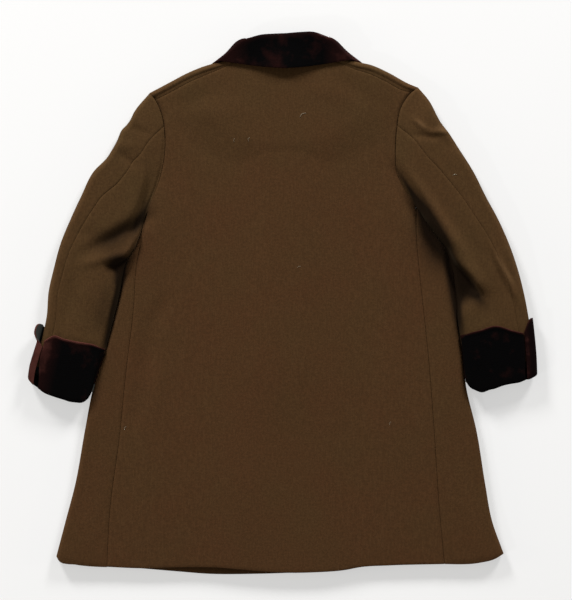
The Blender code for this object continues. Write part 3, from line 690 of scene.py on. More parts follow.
def velvet_finish(name, redness):
    """Velvet whose pile leans over, and looks red, in more places the higher its redness is."""
    material, tree, shader, places = new_finish(name, 0.85)
    fibrous(shader, 0.03, 0.3, VELVET_SHEEN, 0.02)
    wear_and_painted_light = carried(tree)
    clouds = noise(tree, places, PILE_SCALE, 3.0, 0.6)
    leaning = ranged(tree, clouds, LEANING_SPAN[0] - redness, LEANING_SPAN[1] - redness)
    # The carried value mixes in red for rubbing and for painted sheen and highlight alike.
    rubbed_and_sheen = ranged(tree, combined(tree, wear_and_painted_light, clouds), *RUBBED_AND_SHEEN_SPAN)
    pile = mixed(tree, leaning, PILE_BLACK, PILE_RED)
    pile = mixed(tree, ranged(tree, wear_and_painted_light, *WORN_AND_SHEEN_SPAN), pile, PILE_RED)
    tree.links.new(mixed(tree, rubbed_and_sheen, pile, RUBBED_AND_SHEEN_RED), shader.inputs["Base Color"])
    fur = noise(tree, places, FUR_SCALE, 2.0, 0.6)
    raised(tree, shader, combined(tree, fur, clouds), 0.0008, 0.5)
    return material


LINING_COLOURS = (0.007, 0.009, 0.0075), (0.016, 0.020, 0.016)
VELVET_LEFT = velvet_finish("velvet_left_cuff", 0.03)
VELVET_RIGHT = velvet_finish("velvet_right_cuff", -0.03)
VELVET_COLLAR = velvet_finish("velvet_collar", 0.02)
LINING = clouded("cuff_lining", 0.8, (1200.0, 300.0, 1200.0), LINING_COLOURS, (0.0003, 0.4))
print("velvet finishes:", VELVET_LEFT.name, VELVET_RIGHT.name, VELVET_COLLAR.name)

# %% [markdown]
# ## From a net of points to a piece of cloth
# The net is stored by column and row, which leaves it free to have steps in its rim, as the fronts
# have at the armhole. Solidify adds the inner face, so the cloth keeps its thickness wherever it
# turns, and a narrow Bevel rounds off the folded hems and seam edges. Each point keeps one value of
# its own: on velvet the rubbing and a painted sheen, on wool the painted shade of the folds and the
# painted highlights of the ridges.

# %% Making a cloth piece
TOP_START, TOP_FADE = 3.5, 4.5
UNDER_FADE = 3.0
WOOL_ROUNDING, VELVET_ROUNDING = 0.18, 0.3
SHARP_ANGLE = 1.0


def pressed(cells):
    """The same net with creases and seams pressed into it, on top and underneath."""
    keys = list(cells)
    points = np.array([cells[key] for key in keys], float)
    places = points[:, :2]
    upper = soft_step((points[:, 2] - TOP_START) / TOP_FADE)
    under = 1 - soft_step(points[:, 2] / UNDER_FADE)
    lift = upper * relief(places, CREASES) + under * relief(places, UNDER_CREASES)
    points[:, 2] += lift - upper * seam_groove(places)
    return dict(zip(keys, points))


def cloth_piece(name, node, cells, thickness, finishes, wear_and_painted_light=None):
    """A wall of cloth on a net of points, with the finish of its outer face and of its inner face."""
    # Unless a value is given, the points carry the painted shade and painted highlight of fold_shade.
    wear_and_painted_light = wear_and_painted_light or fold_shade(cells)
    net = bmesh.new()
    # Point value: velvet rubbing and painted sheen, wool painted shade and painted highlight.
    worn_and_painted = net.verts.layers.float.new("wear_and_painted_light")
    corner = {}
    for place, point in cells.items():
        corner[place] = net.verts.new(Vector(point) * MM)
        corner[place][worn_and_painted] = wear_and_painted_light[place]
    for column, row in cells:
        ring = [(column, row), (column + 1, row), (column + 1, row + 1), (column, row + 1)]
        if all(place in corner for place in ring):
            net.faces.new([corner[place] for place in ring])
    net.normal_update()
    highest = max(net.faces, key=lambda face: face.calc_center_median().z)
    if highest.normal.z < 0:
        bmesh.ops.reverse_faces(net, faces=list(net.faces))
    area = sum(face.calc_area() for face in net.faces)
    mesh = bpy.data.meshes.new(name)
    net.to_mesh(mesh)
    net.free()
    mesh.shade_smooth()
    for finish in finishes:
        mesh.materials.append(finish)
    piece = bpy.data.objects.new(name, mesh)
    bpy.context.scene.collection.objects.link(piece)
    wall = piece.modifiers.new("Cloth thickness", "SOLIDIFY")
    wall.thickness = thickness * MM
    wall.offset = -1
    wall.material_offset = len(finishes) - 1
    edge = piece.modifiers.new("Rounded edge", "BEVEL")
    edge.width = (VELVET_ROUNDING if thickness == VELVET else WOOL_ROUNDING) * thickness * MM
    edge.segments = 2
    edge.limit_method = "ANGLE"
    edge.angle_limit = SHARP_ANGLE
    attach(piece, "root")
    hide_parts(node)
    print(name, len(mesh.polygons), "faces,", round(area, 4), "square metres of cloth")
    return piece


# %% [markdown]
# ## The back
# The back is one piece with no centre seam. It reaches from one side-back seam to the other, and
# above them from armhole to armhole. Its net is a patch between its sides, its hem and its top.

# %% Back
SEAM_CLEARANCE = 0.08
EDGE_CLEARANCE = 0.5
SEAM_PART = 0.7
TOP_SEAM_SHARE, TOP_SEAM_REACH = 7 / 22, 0.3


def seam_allowance(inset):
    """Half of the gap at a side-back seam, wider where the seam lies on the rolled edge."""
    return SEAM_CLEARANCE + EDGE_CLEARANCE * (1 - clamp(inset / BODY_ROLL))


def row_shares(low_rows, arm_rows):
    """Shares up a panel, with a row just where the side seam ends and the armhole begins."""
    low = list(np.linspace(0, SEAM_PART, low_rows, endpoint=False))
    return low + list(np.linspace(SEAM_PART, 1, arm_rows + 1))


def back_side_line(side):
    """Side of the back from the hem up: the side-back seam, then the armhole to the shoulder seam."""
    shoulder_share = (SHOULDER_SEAM + SEAM_CLEARANCE) / length_of(ARMHOLE[side])

    def at(v):
        if v <= SEAM_PART:
            return SIDE_SEAM[side](v / SEAM_PART)
        return ARMHOLE[side](blend(1.0, shoulder_share, (v - SEAM_PART) / (1 - SEAM_PART)))

    return at


def back_sheet():
    """Place in plan of any share across and up the back."""
    left, right = back_side_line("left"), back_side_line("right")
    left_seam = shoulder_line("left", SHOULDER_SEAM + SEAM_CLEARANCE)
    right_seam = shoulder_line("right", SHOULDER_SEAM + SEAM_CLEARANCE)
    neck = line_through([tuple(left_seam(1.0))] + BACK_NECK + [tuple(right_seam(1.0))])
    left_seam = meeting(left_seam, left(1.0), neck(0.0), TOP_SEAM_REACH)
    right_seam = meeting(right_seam, right(1.0), neck(1.0), TOP_SEAM_REACH)
    seam_end = TOP_SEAM_SHARE

    def top(u):
        if u <= seam_end:
            return left_seam(u / seam_end)
        if u >= 1 - seam_end:
            return right_seam((1 - u) / seam_end)
        return neck((u - seam_end) / (1 - 2 * seam_end))

    return left, right, patch(left, right, line_through(BACK_HEM), top)


def back_cells(columns=110, seam_rows=112, arm_rows=56):
    left, right, at = back_sheet()
    shares = row_shares(seam_rows, arm_rows)
    sides = [np.array([line(v) for v in shares]) for line in (left, right)]
    insets = [distances_to(chain, places) for chain, places in zip(SIDE_CHAINS, sides)]
    places = []
    for row, v in enumerate(shares):
        width = float(np.linalg.norm(right(v) - left(v)))
        low = seam_allowance(insets[0][row]) / width
        high = 1 - seam_allowance(insets[1][row]) / width
        places += [at(blend(low, high, column / columns), v) for column in range(columns + 1)]
    places = np.array(places)
    points = np.column_stack([places, body_heights(places)])
    keys = [(column, row) for row in range(len(shares)) for column in range(columns + 1)]
    return dict(zip(keys, points))


back = cloth_piece("back_panel", "back", pressed(back_cells()), WOOL, [BODY_WOOL])

# %% [markdown]
# ## The fronts
# Each front lies flat under the coat, rolls up round the side and ends at the side-back seam; at its
# top it rolls over the shoulder to a seam a finger's width behind it. The left front laps over the
# right one, so the right front lies a layer higher near the centre.

# %% Places on a front
SHOULDER_PART = 0.5
LAP_MARGIN, LAP_EASE = 3.0, 25.0
CORNER_REACH = 0.15


def lap_height(x, y):
    """The right front lies on the left one within the overlap."""
    past = (x - centre_line(y) - OVERLAP - LAP_MARGIN) / LAP_EASE
    return (WOOL + LAYER_GAP) * (1 - float(soft_step(past)))


def rolled(place, square, base, inset, steps):
    """Points up round the body's rolled edge, from just past its underside to the inset on top."""
    last = acos(1 - clamp(inset / BODY_ROLL))
    points = []
    for step in range(1, steps + 1):
        angle = blend(-pi / 2, last, step / steps)
        spot = place + square * BODY_ROLL * (1 - cos(angle))
        points.append((spot[0], spot[1], base + BODY_ROLL * (1 + sin(angle))))
    return points


def front_sheet(side):
    """Place in plan of any share across and up the flat part of a front, and its hem."""
    under_arm = FRONT_ARMHOLE[side]
    sign = -1 if side == "left" else 1
    arm_start = BODY_ROLL / length_of(under_arm)
    hem = line_through(FRONT_HEM_ROWS[side])
    fold = shoulder_line(side, BODY_ROLL)
    neck_rows = [tuple(fold(1.0))] + [(CENTRE_TOP + sign * step, y) for step, y in FRONT_NECK]
    neck = line_through(neck_rows)

    def centre_edge(v):
        y = blend(hem(1.0)[1], neck_rows[-1][1], v)
        return np.array([centre_line(y) - sign * OVERLAP, y])

    def side_edge(v):
        if v <= SEAM_PART:
            share = v / SEAM_PART
            return EDGE[side](share) + inward(EDGE[side], share) * BODY_ROLL
        share = blend(1 - arm_start, arm_start, (v - SEAM_PART) / (1 - SEAM_PART))
        return under_arm(share)

    def top_edge(u):
        if u <= 1 - SHOULDER_PART:
            return neck(1 - u / (1 - SHOULDER_PART))
        return fold((1 - u) / SHOULDER_PART)

    top = meeting(top_edge, centre_edge(1.0), side_edge(1.0), CORNER_REACH)
    bottom = meeting(lambda u: hem(1 - u), centre_edge(0.0), side_edge(0.0), CORNER_REACH)
    return patch(centre_edge, side_edge, bottom, top), hem


# %% The part of a front that lies on top, beside the back
SEAM_END_GAP, NARROW_STEP = 0.3, 0.05
STRIP_COLUMNS, SHOULDER_STEPS = 16, 4


def hem_level(hem, x):
    """Level of a front's hem at a place across the coat."""
    low, _high = halved(0.0, 0.5, lambda share: abs(hem(share)[0]) > abs(x), rounds=25)
    return hem(low)[1]


def side_strip(side, hem, rows, steps, columns):
    """The front's cloth from its rolled side up to the side-back seam, row by row."""
    edge, seam = EDGE[side], SIDE_SEAM[side]
    strip = {}
    for row in range(rows + 1):
        share = min(row / rows, 1 - SEAM_END_GAP / length_of(edge))
        place, square, goal = edge(share), inward(edge, share), seam(share)
        inset = float(np.dot(goal - place, square))
        reach = inset - seam_allowance(inset)
        goal = blend(place, goal, reach / inset)
        points = rolled(place, square, base_height(place), reach, steps)
        rim = np.array(points[-1][:2])
        spots = [blend(rim, goal, step / columns) for step in range(1, columns + 1)]
        if reach < BODY_ROLL:
            spots = [rim + square * NARROW_STEP * step for step in range(1, columns + 1)]
        if row == 0:
            middle = base_height(place) + BODY_ROLL
            points = [(x, hem_level(hem, x) if z > middle else y, z) for x, y, z in points]
            spots = [np.array([spot[0], hem_level(hem, spot[0])]) for spot in spots]
        points += on_body(spots)
        for step, point in enumerate(points):
            strip[(step, row)] = point
    return strip


def shoulder_strip(side, first, columns, steps):
    """The front's cloth over the shoulder to its seam, column by column."""
    strip = {}
    for column in range(first, columns + 1):
        share = (1 - column / columns) / SHOULDER_PART
        place, square = SHOULDER[side](share), shoulder_square(side, share)
        points = rolled(place, square, base_height(place), BODY_ROLL, steps)
        reach = drawn_in(SHOULDER_SEAM - SEAM_CLEARANCE, share)
        insets = [blend(BODY_ROLL, reach, k / SHOULDER_STEPS) for k in range(1, SHOULDER_STEPS + 1)]
        spots = [place + square * inset for inset in insets]
        points += on_body(spots)
        for step, point in enumerate(points):
            strip[(column, step)] = point
    return strip


# %% Both fronts
def front_cells(side, columns=44, low_rows=112, arm_rows=30, steps=10):
    at, hem = front_sheet(side)
    shares = row_shares(low_rows, arm_rows)
    cells = {}
    for row, v in enumerate(shares):
        for column in range(columns + 1):
            x, y = at(column / columns, v)
            lift = lap_height(x, y) if side == "right" else 0.0
            cells[(column, row)] = (x, y, base_height((x, y)) + lift)
    for (step, row), point in side_strip(side, hem, low_rows, steps, STRIP_COLUMNS).items():
        cells[(columns + 1 + step, row)] = point
    for (column, step), point in shoulder_strip(side, columns // 2, columns, steps).items():
        cells[(column, len(shares) + step)] = point
    return cells


for side in SIDES:
    cells = pressed(front_cells(side))
    cloth_piece("front_panel_" + side, "front_" + side, cells, WOOL, [SIDE_WOOL])

# %% [markdown]
# ## The sleeves
# A coat sleeve is a bent tube of two pieces: the top sleeve outside and the under sleeve inside, with
# the hind-arm seam showing on the back. Flattened, it has two layers between rolled edges. It is full
# above the elbow and has sunk beside the body below it, where the cloth makes a short steep step.

# %% Outer edges, hind-arm seams and the step
SLEEVE_ROWS = {
    "left": [
        (-146, 230), (-163, 209), (-168, 199), (-171.5, 194.5), (-176, 190), (-182, 177),
        (-187, 168), (-192, 160), (-208, 143), (-221, 117), (-233, 91), (-244, 64), (-251, 38),
        (-257, 11), (-259, -15), (-265, -42), (-274, -69),
    ],
    "right": [
        (149, 236), (160, 223), (175, 196), (182, 187), (193, 170), (210, 143), (223, 117),
        (237, 91), (249, 64), (258, 38), (265, 11), (270, -15), (273, -36), (276, -64),
    ],
}
HIND_SEAM_ROWS = {
    "left": [(0, 0.27), (0.15, 0.27), (0.3, 0.23), (0.45, 0.14), (0.6, 0.09), (1, 0.09)],
    "right": [(0, 0.33), (0.15, 0.33), (0.3, 0.31), (0.5, 0.2), (0.7, 0.13), (1, 0.12)],
}
STEP_ROWS = {
    "left": [(-158, 64), (-178, 45), (-200, 41), (-214, 40)],
    "right": [(182, 60), (190, 44), (206, 26), (219, 10), (232, 0)],
}
CUFF_LEVELS = {"left": (-49.0, -93.0), "right": (-34.0, -84.5)}
SLEEVE_BOTTOM = {"left": -84.0, "right": -75.0}
FORE_SEAM = 0.8
SLEEVE_GAP, UNDERARM_TUCK = -0.5, 0.9
SLEEVE_START, LOWER_START = 0.0004, 0.003
HIND_SEAM_DEPTH, HIND_SEAM_WIDTH = 0.4, 1.4
UNDERARM_EASE = 0.04
TURN_ROOM, LOWER_TURN, UPPER_TURN = 1.8, (0.86, 0.04), (0.84, 0.06)
BASE_START, BASE_EASE = 0.6, 0.13


def sleeve_inner_line(side):
    """Inner edge of a sleeve: it lies beside the body's edge, and further in under the cuff.
    Its lower half turns in later than its upper half, so that no table shows beside it."""
    edge = EDGE[side]
    end = share_at_level(edge, SLEEVE_BOTTOM[side])

    def at(v, level=1.0):
        share = blend(1.0, end, v)
        low, high = (soft_step((v - start) / length) for start, length in (LOWER_TURN, UPPER_TURN))
        tuck = UNDERARM_TUCK * (1 - float(soft_step(v / UNDERARM_EASE)))
        step = SLEEVE_GAP - tuck + (VELVET + LAYER_GAP + TURN_ROOM) * float(blend(low, high, level))
        return edge(share) - inward(edge, share) * step

    return at


def sleeve_base(v):
    """A sleeve rises off the surface where its cuff lies under it."""
    return (VELVET + LAYER_GAP) * float(soft_step((v - BASE_START) / BASE_EASE))


# %% Height over a sleeve
def step_frame(side):
    """Start, end and downward way of the step, and a smooth line along its foot."""
    rows = STEP_ROWS[side]
    start, end = np.array(rows[0], float), np.array(rows[-1], float)
    along = unit(end - start)
    down = np.array([along[1], -along[0]]) if side == "right" else np.array([-along[1], along[0]])
    return start, end, down, line_through(rows)


STEP = {side: step_frame(side) for side in SIDES}
STEP_BACK, STEP_RUN = 2.0, 4.5
RIDGE_RISE, RIDGE_BACK, RIDGE_WIDTH = 4.0, 5.0, 7.0
PIT_DEPTH, PIT_START, PIT_REACH = 3.2, 5.0, {"left": 16.0, "right": 24.0}
FADE_START, FADE_LENGTH = {"left": 0.35, "right": 0.6}, 0.45
FULL_FROM, FOLDS_FROM = 0.11, 0.12
MOUTH_START, MOUTH_EASE = 0.61, 0.12


def sleeve_height(side, x, y, v):
    """Height over a sleeve: as the body at the armhole, full below it, low beyond the step."""
    start, end, down, foot_line = STEP[side]
    place = np.array([x, y])
    share = float(np.dot(place - start, end - start)) / float(np.dot(end - start, end - start))
    below = float(np.dot(place - foot_line(clamp(share)), down))
    fade = 1 - soft_step((share - FADE_START[side]) / FADE_LENGTH)
    past_armhole = soft_step(v / FOLDS_FROM)
    ridge = RIDGE_RISE * np.exp(-(((below + RIDGE_BACK) / RIDGE_WIDTH) ** 2)) * fade
    full = blend(BODY_HEIGHT, SLEEVE_HEIGHT, soft_step(v / FULL_FROM)) + ridge * past_armhole
    sunk = soft_step((below + STEP_BACK) / STEP_RUN) * fade * past_armhole
    pit = PIT_DEPTH * np.exp(-((max(0.0, below - PIT_START) / PIT_REACH[side]) ** 2)) * fade
    mouth = CUFF_HEIGHT - 2 * (VELVET + LAYER_GAP)
    near_mouth = soft_step((v - MOUTH_START) / MOUTH_EASE)
    return float(blend(blend(full, SLEEVE_LOW - pit, sunk), mouth, near_mouth))


# %% Places on a sleeve
ROLL_EASE, OUTER_EASE, INNER_EASE = 0.2, 0.15, 0.1
BOW_POWER, BOW_END = (2, 8), 0.75


def sleeve_sheet(side):
    """Place in plan of a station of the sleeve: its layers span the lines where the rolls end."""
    edge, armhole, under_arm = EDGE[side], ARMHOLE[side], FRONT_ARMHOLE[side]
    outer, inner = line_through(SLEEVE_ROWS[side]), sleeve_inner_line(side)
    ends = BODY_ROLL / length_of(armhole)
    middle = (outer(0.5) + inner(0.5)) / 2

    def roll(v):
        return BODY_ROLL + float(soft_step(v / ROLL_EASE))

    def outer_way(v):
        way = inward(outer, v, middle)
        start = unit(armhole(ARMHOLE_END) - armhole(0.0))
        return unit(blend(start, way, float(soft_step(v / OUTER_EASE))))

    def inner_way(v, ring):
        way = -inward(edge, share_at_level(edge, inner(v)[1]))
        start = unit(ring(1 - ARMHOLE_END) - ring(1.0))
        return unit(blend(start, way, float(soft_step(v / INNER_EASE))))

    def at(kind, way, v):
        below = kind == "below" or (kind != "over" and way < 0)
        ring = under_arm if below else armhole
        if kind == "outer roll":
            return outer(v) + outer_way(v) * roll(v) * (1 - cos(way))
        if kind == "inner roll":
            return inner(v, 0.5 + 0.5 * sin(way)) + inner_way(v, ring) * roll(v) * (1 - cos(way))
        first = outer(v) + outer_way(v) * roll(v)
        last = inner(v, 0.0 if below else 1.0) + inner_way(v, ring) * roll(v)
        bow = ring(blend(ends, 1 - ends, way)) - blend(ring(ends), ring(1 - ends), way)
        power = BOW_POWER[0] + BOW_POWER[1] * way
        hold = (1 - v) ** power * (1 - float(soft_step(v / BOW_END)))
        return blend(first, last, way) + bow * hold

    return at


ROLL_PLACES, TOP_PLACES, UNDER_PLACES = 11, (18, 18), (40, 5)


def sleeve_stations(part, seam):
    """Places round the sleeve: shares across its two layers, and angles of its rolled edges."""
    if part == "top":
        over, below = TOP_PLACES
        stations = [("over", way) for way in np.linspace(seam, 0, over, endpoint=False)]
        stations += [("outer roll", way) for way in np.linspace(pi / 2, -pi / 2, ROLL_PLACES)]
        return stations + [("below", way) for way in np.linspace(0, FORE_SEAM, below + 1)[1:]]
    over, below = UNDER_PLACES
    stations = [("over", way) for way in np.linspace(seam, 1, over, endpoint=False)]
    stations += [("inner roll", way) for way in np.linspace(pi / 2, -pi / 2, ROLL_PLACES)]
    return stations + [("below", way) for way in np.linspace(1, FORE_SEAM, below + 1)[1:]]


# %% Both pieces of both sleeves
ROW_CROWDING = 1.15
HIND_SEAM_LEAST = 0.02


def sleeve_cells(side, part, rows=150):
    at = sleeve_sheet(side)
    hind = reading(HIND_SEAM_ROWS[side])
    cells = {}
    for row in range(rows + 1):
        share = (row / rows) ** ROW_CROWDING
        v = blend(SLEEVE_START, 1.0, share)
        width = float(np.linalg.norm(at("inner roll", 0.0, v) - at("outer roll", 0.0, v)))
        gap = SEAM_CLEARANCE / width
        seam = max(float(hind(v)[0]), HIND_SEAM_LEAST)
        stations = sleeve_stations(part, seam - gap if part == "top" else seam + gap)
        for column, (kind, way) in enumerate(stations):
            if kind == "below":
                way = min(way, FORE_SEAM - gap) if part == "top" else max(way, FORE_SEAM + gap)
            level = {"over": 1.0, "below": 0.0}.get(kind, 0.5 + 0.5 * sin(way))
            start = blend(LOWER_START, SLEEVE_START, level) if part == "under" else SLEEVE_START
            x, y = at(kind, way, blend(start, 1.0, share))
            z = sleeve_base(v) + sleeve_height(side, x, y, v) * level
            if kind == "over":
                z -= HIND_SEAM_DEPTH * np.exp(-(((way - seam) * width / HIND_SEAM_WIDTH) ** 2))
            cells[(column, row)] = (x, y, z)
    return cells


PARTS = ("top", "under")
for side in SIDES:
    for part in PARTS:
        node = part + "_sleeve_" + side
        cells = pressed(sleeve_cells(side, part))
        cloth_piece(node + "_cloth", node, cells, WOOL, [SLEEVE_WOOL])

# %% [markdown]
# ## The cuffs
# Each cuff is a velvet band turned back over the sleeve's end, with a slit at the hind-arm seam. Its
# section is a flattened ring drawn round from the slit: over the top, round the inner side, below and
# up the outer side. At the mouth the band turns in on itself. Its dull lining shows inside the flap.

# %% Outlines of the cuffs
CUFF_ROWS = {
    "left": [(-265, -24), (-269, -40), (-274, -56), (-278, -70), (-280, -84)],
    "right": [(275, -17), (277, -35), (279, -57), (280, -80)],
}
MOUTH_ROWS = {
    "left": [(-280, -84), (-270, -94), (-240, -107), (-222, -110.5), (-214, -106)],
    "right": [(280, -80), (270, -85), (244, -91), (216, -98), (207, -94.5)],
}
CUFF_EDGE_ROWS = {
    "left": [
        (0, 17.5), (0.05, 8.4), (0.135, 7.2), (0.23, 5.4), (0.34, 2.8), (0.42, 3.2), (0.6, 4),
        (0.85, 2), (0.92, 0), (0.96, 4), (1, 14),
    ],
    "right": [
        (0, 15), (0.08, 9), (0.19, 0.5), (0.3, 1.5), (0.44, 3), (0.6, 3), (0.85, 1), (0.93, 0),
        (0.96, 3), (1, 14),
    ],
}
CUFF_SLIT, CUFF_FOLD, CUFF_TURN = 0.8, 4.8, 11.0
SLIT_SPREAD = {"left": 5.0, "right": 1.2}
CUFF_GAP = -0.25
FLAP_LENGTH, LEAN_START, FLAP_LEAN = 24.0, 12.0, {"left": 6.5, "right": 0.0}
FLAP_REACH = {"left": 7.5, "right": 11.5}
MOUTH_WAVE, WAVE_START = 0.45, 0.8
OVER_PLACES, INNER_PLACES, BELOW_PLACES, OUTER_PLACES = 24, 11, 14, 13


def cuff_stations():
    """Places round a cuff from its slit: shares across its layers, and angles of its sides."""
    stations = [("over", way) for way in np.linspace(0, 1, OVER_PLACES, endpoint=False)]
    stations += [("inner roll", way) for way in np.linspace(pi / 2, -pi / 2, INNER_PLACES)[:-1]]
    stations += [("below", way) for way in np.linspace(0, 1, BELOW_PLACES, endpoint=False)]
    return stations + [("outer roll", way) for way in np.linspace(-pi / 2, pi / 2, OUTER_PLACES)]


def cuff_place(station, width, depth, reach, slit, lean):
    """Distance in from the outer edge and height, with the whole ring drawn in by a depth."""
    kind, way = station
    radius = CUFF_HEIGHT / 2
    if kind == "over":
        return blend(reach + slit, width - radius, way), CUFF_HEIGHT - depth
    if kind == "below":
        return blend(width - radius, radius, way), depth
    inset = depth + (radius - depth) * (1 - cos(way))
    height = radius + (radius - depth) * sin(way)
    if kind == "outer roll" and way > 0:
        inset = blend(inset, -lean * sin(way), min(1.0, lean)) + (reach - radius) * (1 - cos(way))
    return (width - inset if kind == "inner roll" else inset), height


# %% Sheets and profiles of the cuffs
def cuff_sheet(side):
    """The cuff's plan as a sheet from its top line to its mouth, with its width and length."""
    edge = EDGE[side]
    first, last = (share_at_level(edge, level) for level in CUFF_LEVELS[side])
    outer = line_through(CUFF_ROWS[side])

    def inner(v):
        share = blend(first, last, v)
        return edge(share) - inward(edge, share) * CUFF_GAP

    mouth = line_through(MOUTH_ROWS[side] + [tuple(inner(1.0))])
    at = patch(outer, inner, lambda u: blend(outer(0.0), inner(0.0), u), mouth)
    width = float(np.linalg.norm(inner(0.5) - outer(0.5)))
    length = float(np.linalg.norm(at(0.5, 1.0) - at(0.5, 0.0)))
    return at, width, length


FACE_ROWS, FOLD_ROWS, TURNED_ROWS = 20, 8, 4


def cuff_profile(top, length):
    """Shares down the cuff and depths, from its free edge to the end of its turned-in velvet."""
    radius = CUFF_FOLD / 2
    turn = 1 - radius / length
    profile = [(blend(top, turn, k / FACE_ROWS), 0.0) for k in range(FACE_ROWS)]
    for k in range(FOLD_ROWS + 1):
        angle = pi * k / FOLD_ROWS
        profile.append((turn + radius * sin(angle) / length, radius * (1 - cos(angle))))
    end = CUFF_TURN / length
    return profile + [(turn - end * k / TURNED_ROWS, CUFF_FOLD) for k in range(1, TURNED_ROWS + 1)]


# %% Where the cuffs' velvet is rubbed, and where a red sheen and highlight are painted on it
# Free edge: partly rubbed, partly a painted highlight. Outer side and flap: a painted red sheen.
EDGE_WEAR_AND_HIGHLIGHT, EDGE_WIDTH = {"left": 0.85, "right": 0.62}, 1.3
SLIT_WEAR, SLIT_START = {"left": 0.8, "right": 0.4}, 0.98
OUTER_SHEEN, SHEEN_REACH, FLAP_SHEEN = {"left": 0.62, "right": 0.22}, 42.0, 1.2
SPOT, SPOT_WEAR, SPOT_SIZE = {"left": (-201.0, -93.0), "right": (196.5, -37.0)}, 0.7, 2.5
OUTER_HALF, UPPER_FACE = 5.0, 8.0


def cuff_wear_and_sheen(side, kind, round_share, row, down, inset, place):
    """Value of one point: rubbing and a painted highlight along the free edge, painted sheen by the
    outer side and on the flap, rubbing at the slit and on one spot.
    """
    x, y, height = place
    # Along the free edge: partly rubbing, partly a painted highlight.
    worn_and_painted = EDGE_WEAR_AND_HIGHLIGHT[side] * np.exp(-((down / EDGE_WIDTH) ** 2)) if row < FACE_ROWS else 0.0
    if kind == "over":
        # Painted sheen: red painted along the outer side and up the flap.
        worn_and_painted = max(worn_and_painted, OUTER_SHEEN[side] * (1 - float(soft_step(inset / SHEEN_REACH))))
    if kind == "outer roll" and height > OUTER_HALF:
        worn_and_painted = max(worn_and_painted, OUTER_SHEEN[side] * FLAP_SHEEN, SLIT_WEAR[side] * (round_share > SLIT_START))
    if height > UPPER_FACE:
        off_spot = np.hypot(x - SPOT[side][0], y - SPOT[side][1])
        worn_and_painted = max(worn_and_painted, SPOT_WEAR * np.exp(-((off_spot / SPOT_SIZE) ** 2)))
    return worn_and_painted


# %% Nets of both cuffs
LIP_HEIGHT, LIP_WIDTH = 0.9, 2.0
SPREAD_START, SPREAD_LENGTH = 0.45, 0.45
WAVES = (2.9, 7.0)


def cuff_cells(side):
    at, width, length = cuff_sheet(side)
    drop = reading(CUFF_EDGE_ROWS[side])
    stations = cuff_stations()
    cells, wear_and_painted_light = {}, {}
    for column, station in enumerate(stations):
        round_share = column / (len(stations) - 1)
        top = clamp(float(drop(round_share)[0]) / length)
        for row, (v, depth) in enumerate(cuff_profile(top, length)):
            down = (v - top) * length
            slit = CUFF_SLIT + SLIT_SPREAD[side] * float(soft_step((v - SPREAD_START) / SPREAD_LENGTH))
            upright = soft_step((v * length - LEAN_START) / (FLAP_LENGTH - LEAN_START))
            lean = FLAP_LEAN[side] * (1 - float(upright))
            inset, height = cuff_place(station, width, depth, FLAP_REACH[side], slit, lean)
            wave = MOUTH_WAVE * sin(inset / WAVES[0]) * (1 + sin(inset / WAVES[1]))
            wave *= float(soft_step((v - WAVE_START) / (1 - WAVE_START)))
            x, y = at(inset / width, v + wave / length)
            on_face = depth == 0.0 and station[0] == "over"
            lip = LIP_HEIGHT * np.exp(-((down / LIP_WIDTH) ** 2)) if on_face else 0.0
            cells[(column, row)] = (x, y, height + lip)
            place = (x, y, height)
            wear_and_painted_light[(column, row)] = cuff_wear_and_sheen(side, station[0], round_share, row, down, inset, place)
    return cells, wear_and_painted_light


for side, finish in (("left", VELVET_LEFT), ("right", VELVET_RIGHT)):
    cells, wear_and_painted_light = cuff_cells(side)
    faces = [finish, LINING]
    cloth_piece("cuff_velvet_" + side, "cuff_" + side, cells, VELVET, faces, wear_and_painted_light)

# %% [markdown]
# ## The collar
# The collar stands up round the neck, folds over and falls on the back and on the fronts. Its section
# is the same at every place: up the fall, over the fold and down the stand to the neck seam. Seven
# columns of places, left and right, say where fall, fold and seam lie, and the sides are rounded.

# %% Sections of the collar: share, then x and y of the fall's edge, the fold and the neck seam
COLLAR_BACK = {
    "left": [
        (0.0, 3.5, 257.0, 3.5, 295.4, 3.5, 262.8), (0.3, -18.5, 258.3, -9.5, 294.9, -11.5, 263.2),
        (0.6, -42.0, 261.0, -22.5, 294.0, -27.5, 264.4), (1.0, -70.0, 265.0, -38.5, 289.8, -47.5, 268),
    ],
    "right": [
        (0.0, 3.5, 257.0, 3.5, 295.4, 3.5, 262.8), (0.3, 25.0, 258.6, 18.0, 296.6, 18.5, 263.2),
        (0.6, 48.0, 261.8, 33.0, 297.0, 34.5, 264.4), (1.0, 75.0, 266.4, 49.5, 291.6, 54.5, 268.0),
    ],
}
COLLAR_FRONT = {
    "left": [
        (0.0, -83.0, 257.5, -38.5, 289.8, -48.5, 268.0), (0.35, -72.5, 231, -26.5, 262, -38, 248),
        (0.7, -48.5, 203, -13.5, 243, -22.5, 232), (1.0, -14.5, 192, 0.5, 232, -2.5, 224.5),
    ],
    "right": [
        (0.0, 90.0, 261.5, 49.5, 291.6, 55.5, 268.0), (0.35, 79.5, 231, 33.5, 262, 45, 248),
        (0.7, 55.5, 203, 20.5, 243, 29.5, 232), (1.0, 21.5, 192, 6.5, 232, 9.5, 224.5),
    ],
}
FOLD_TOP, FOLD_HEIGHT, STAND_FACE = 15.6, 5.6, 9.0
COLLAR_LIFT = 4.4
COLLAR_BULGE = {"left": 3.8, "right": 2.6}
COLLAR_OUT = {"left": (-29.0, 45.0), "right": (29.0, 45.0)}
FALL_STEPS, FOLD_STEPS, STAND_STEPS = 14, 9, 7
FALL_RISE = 1.6


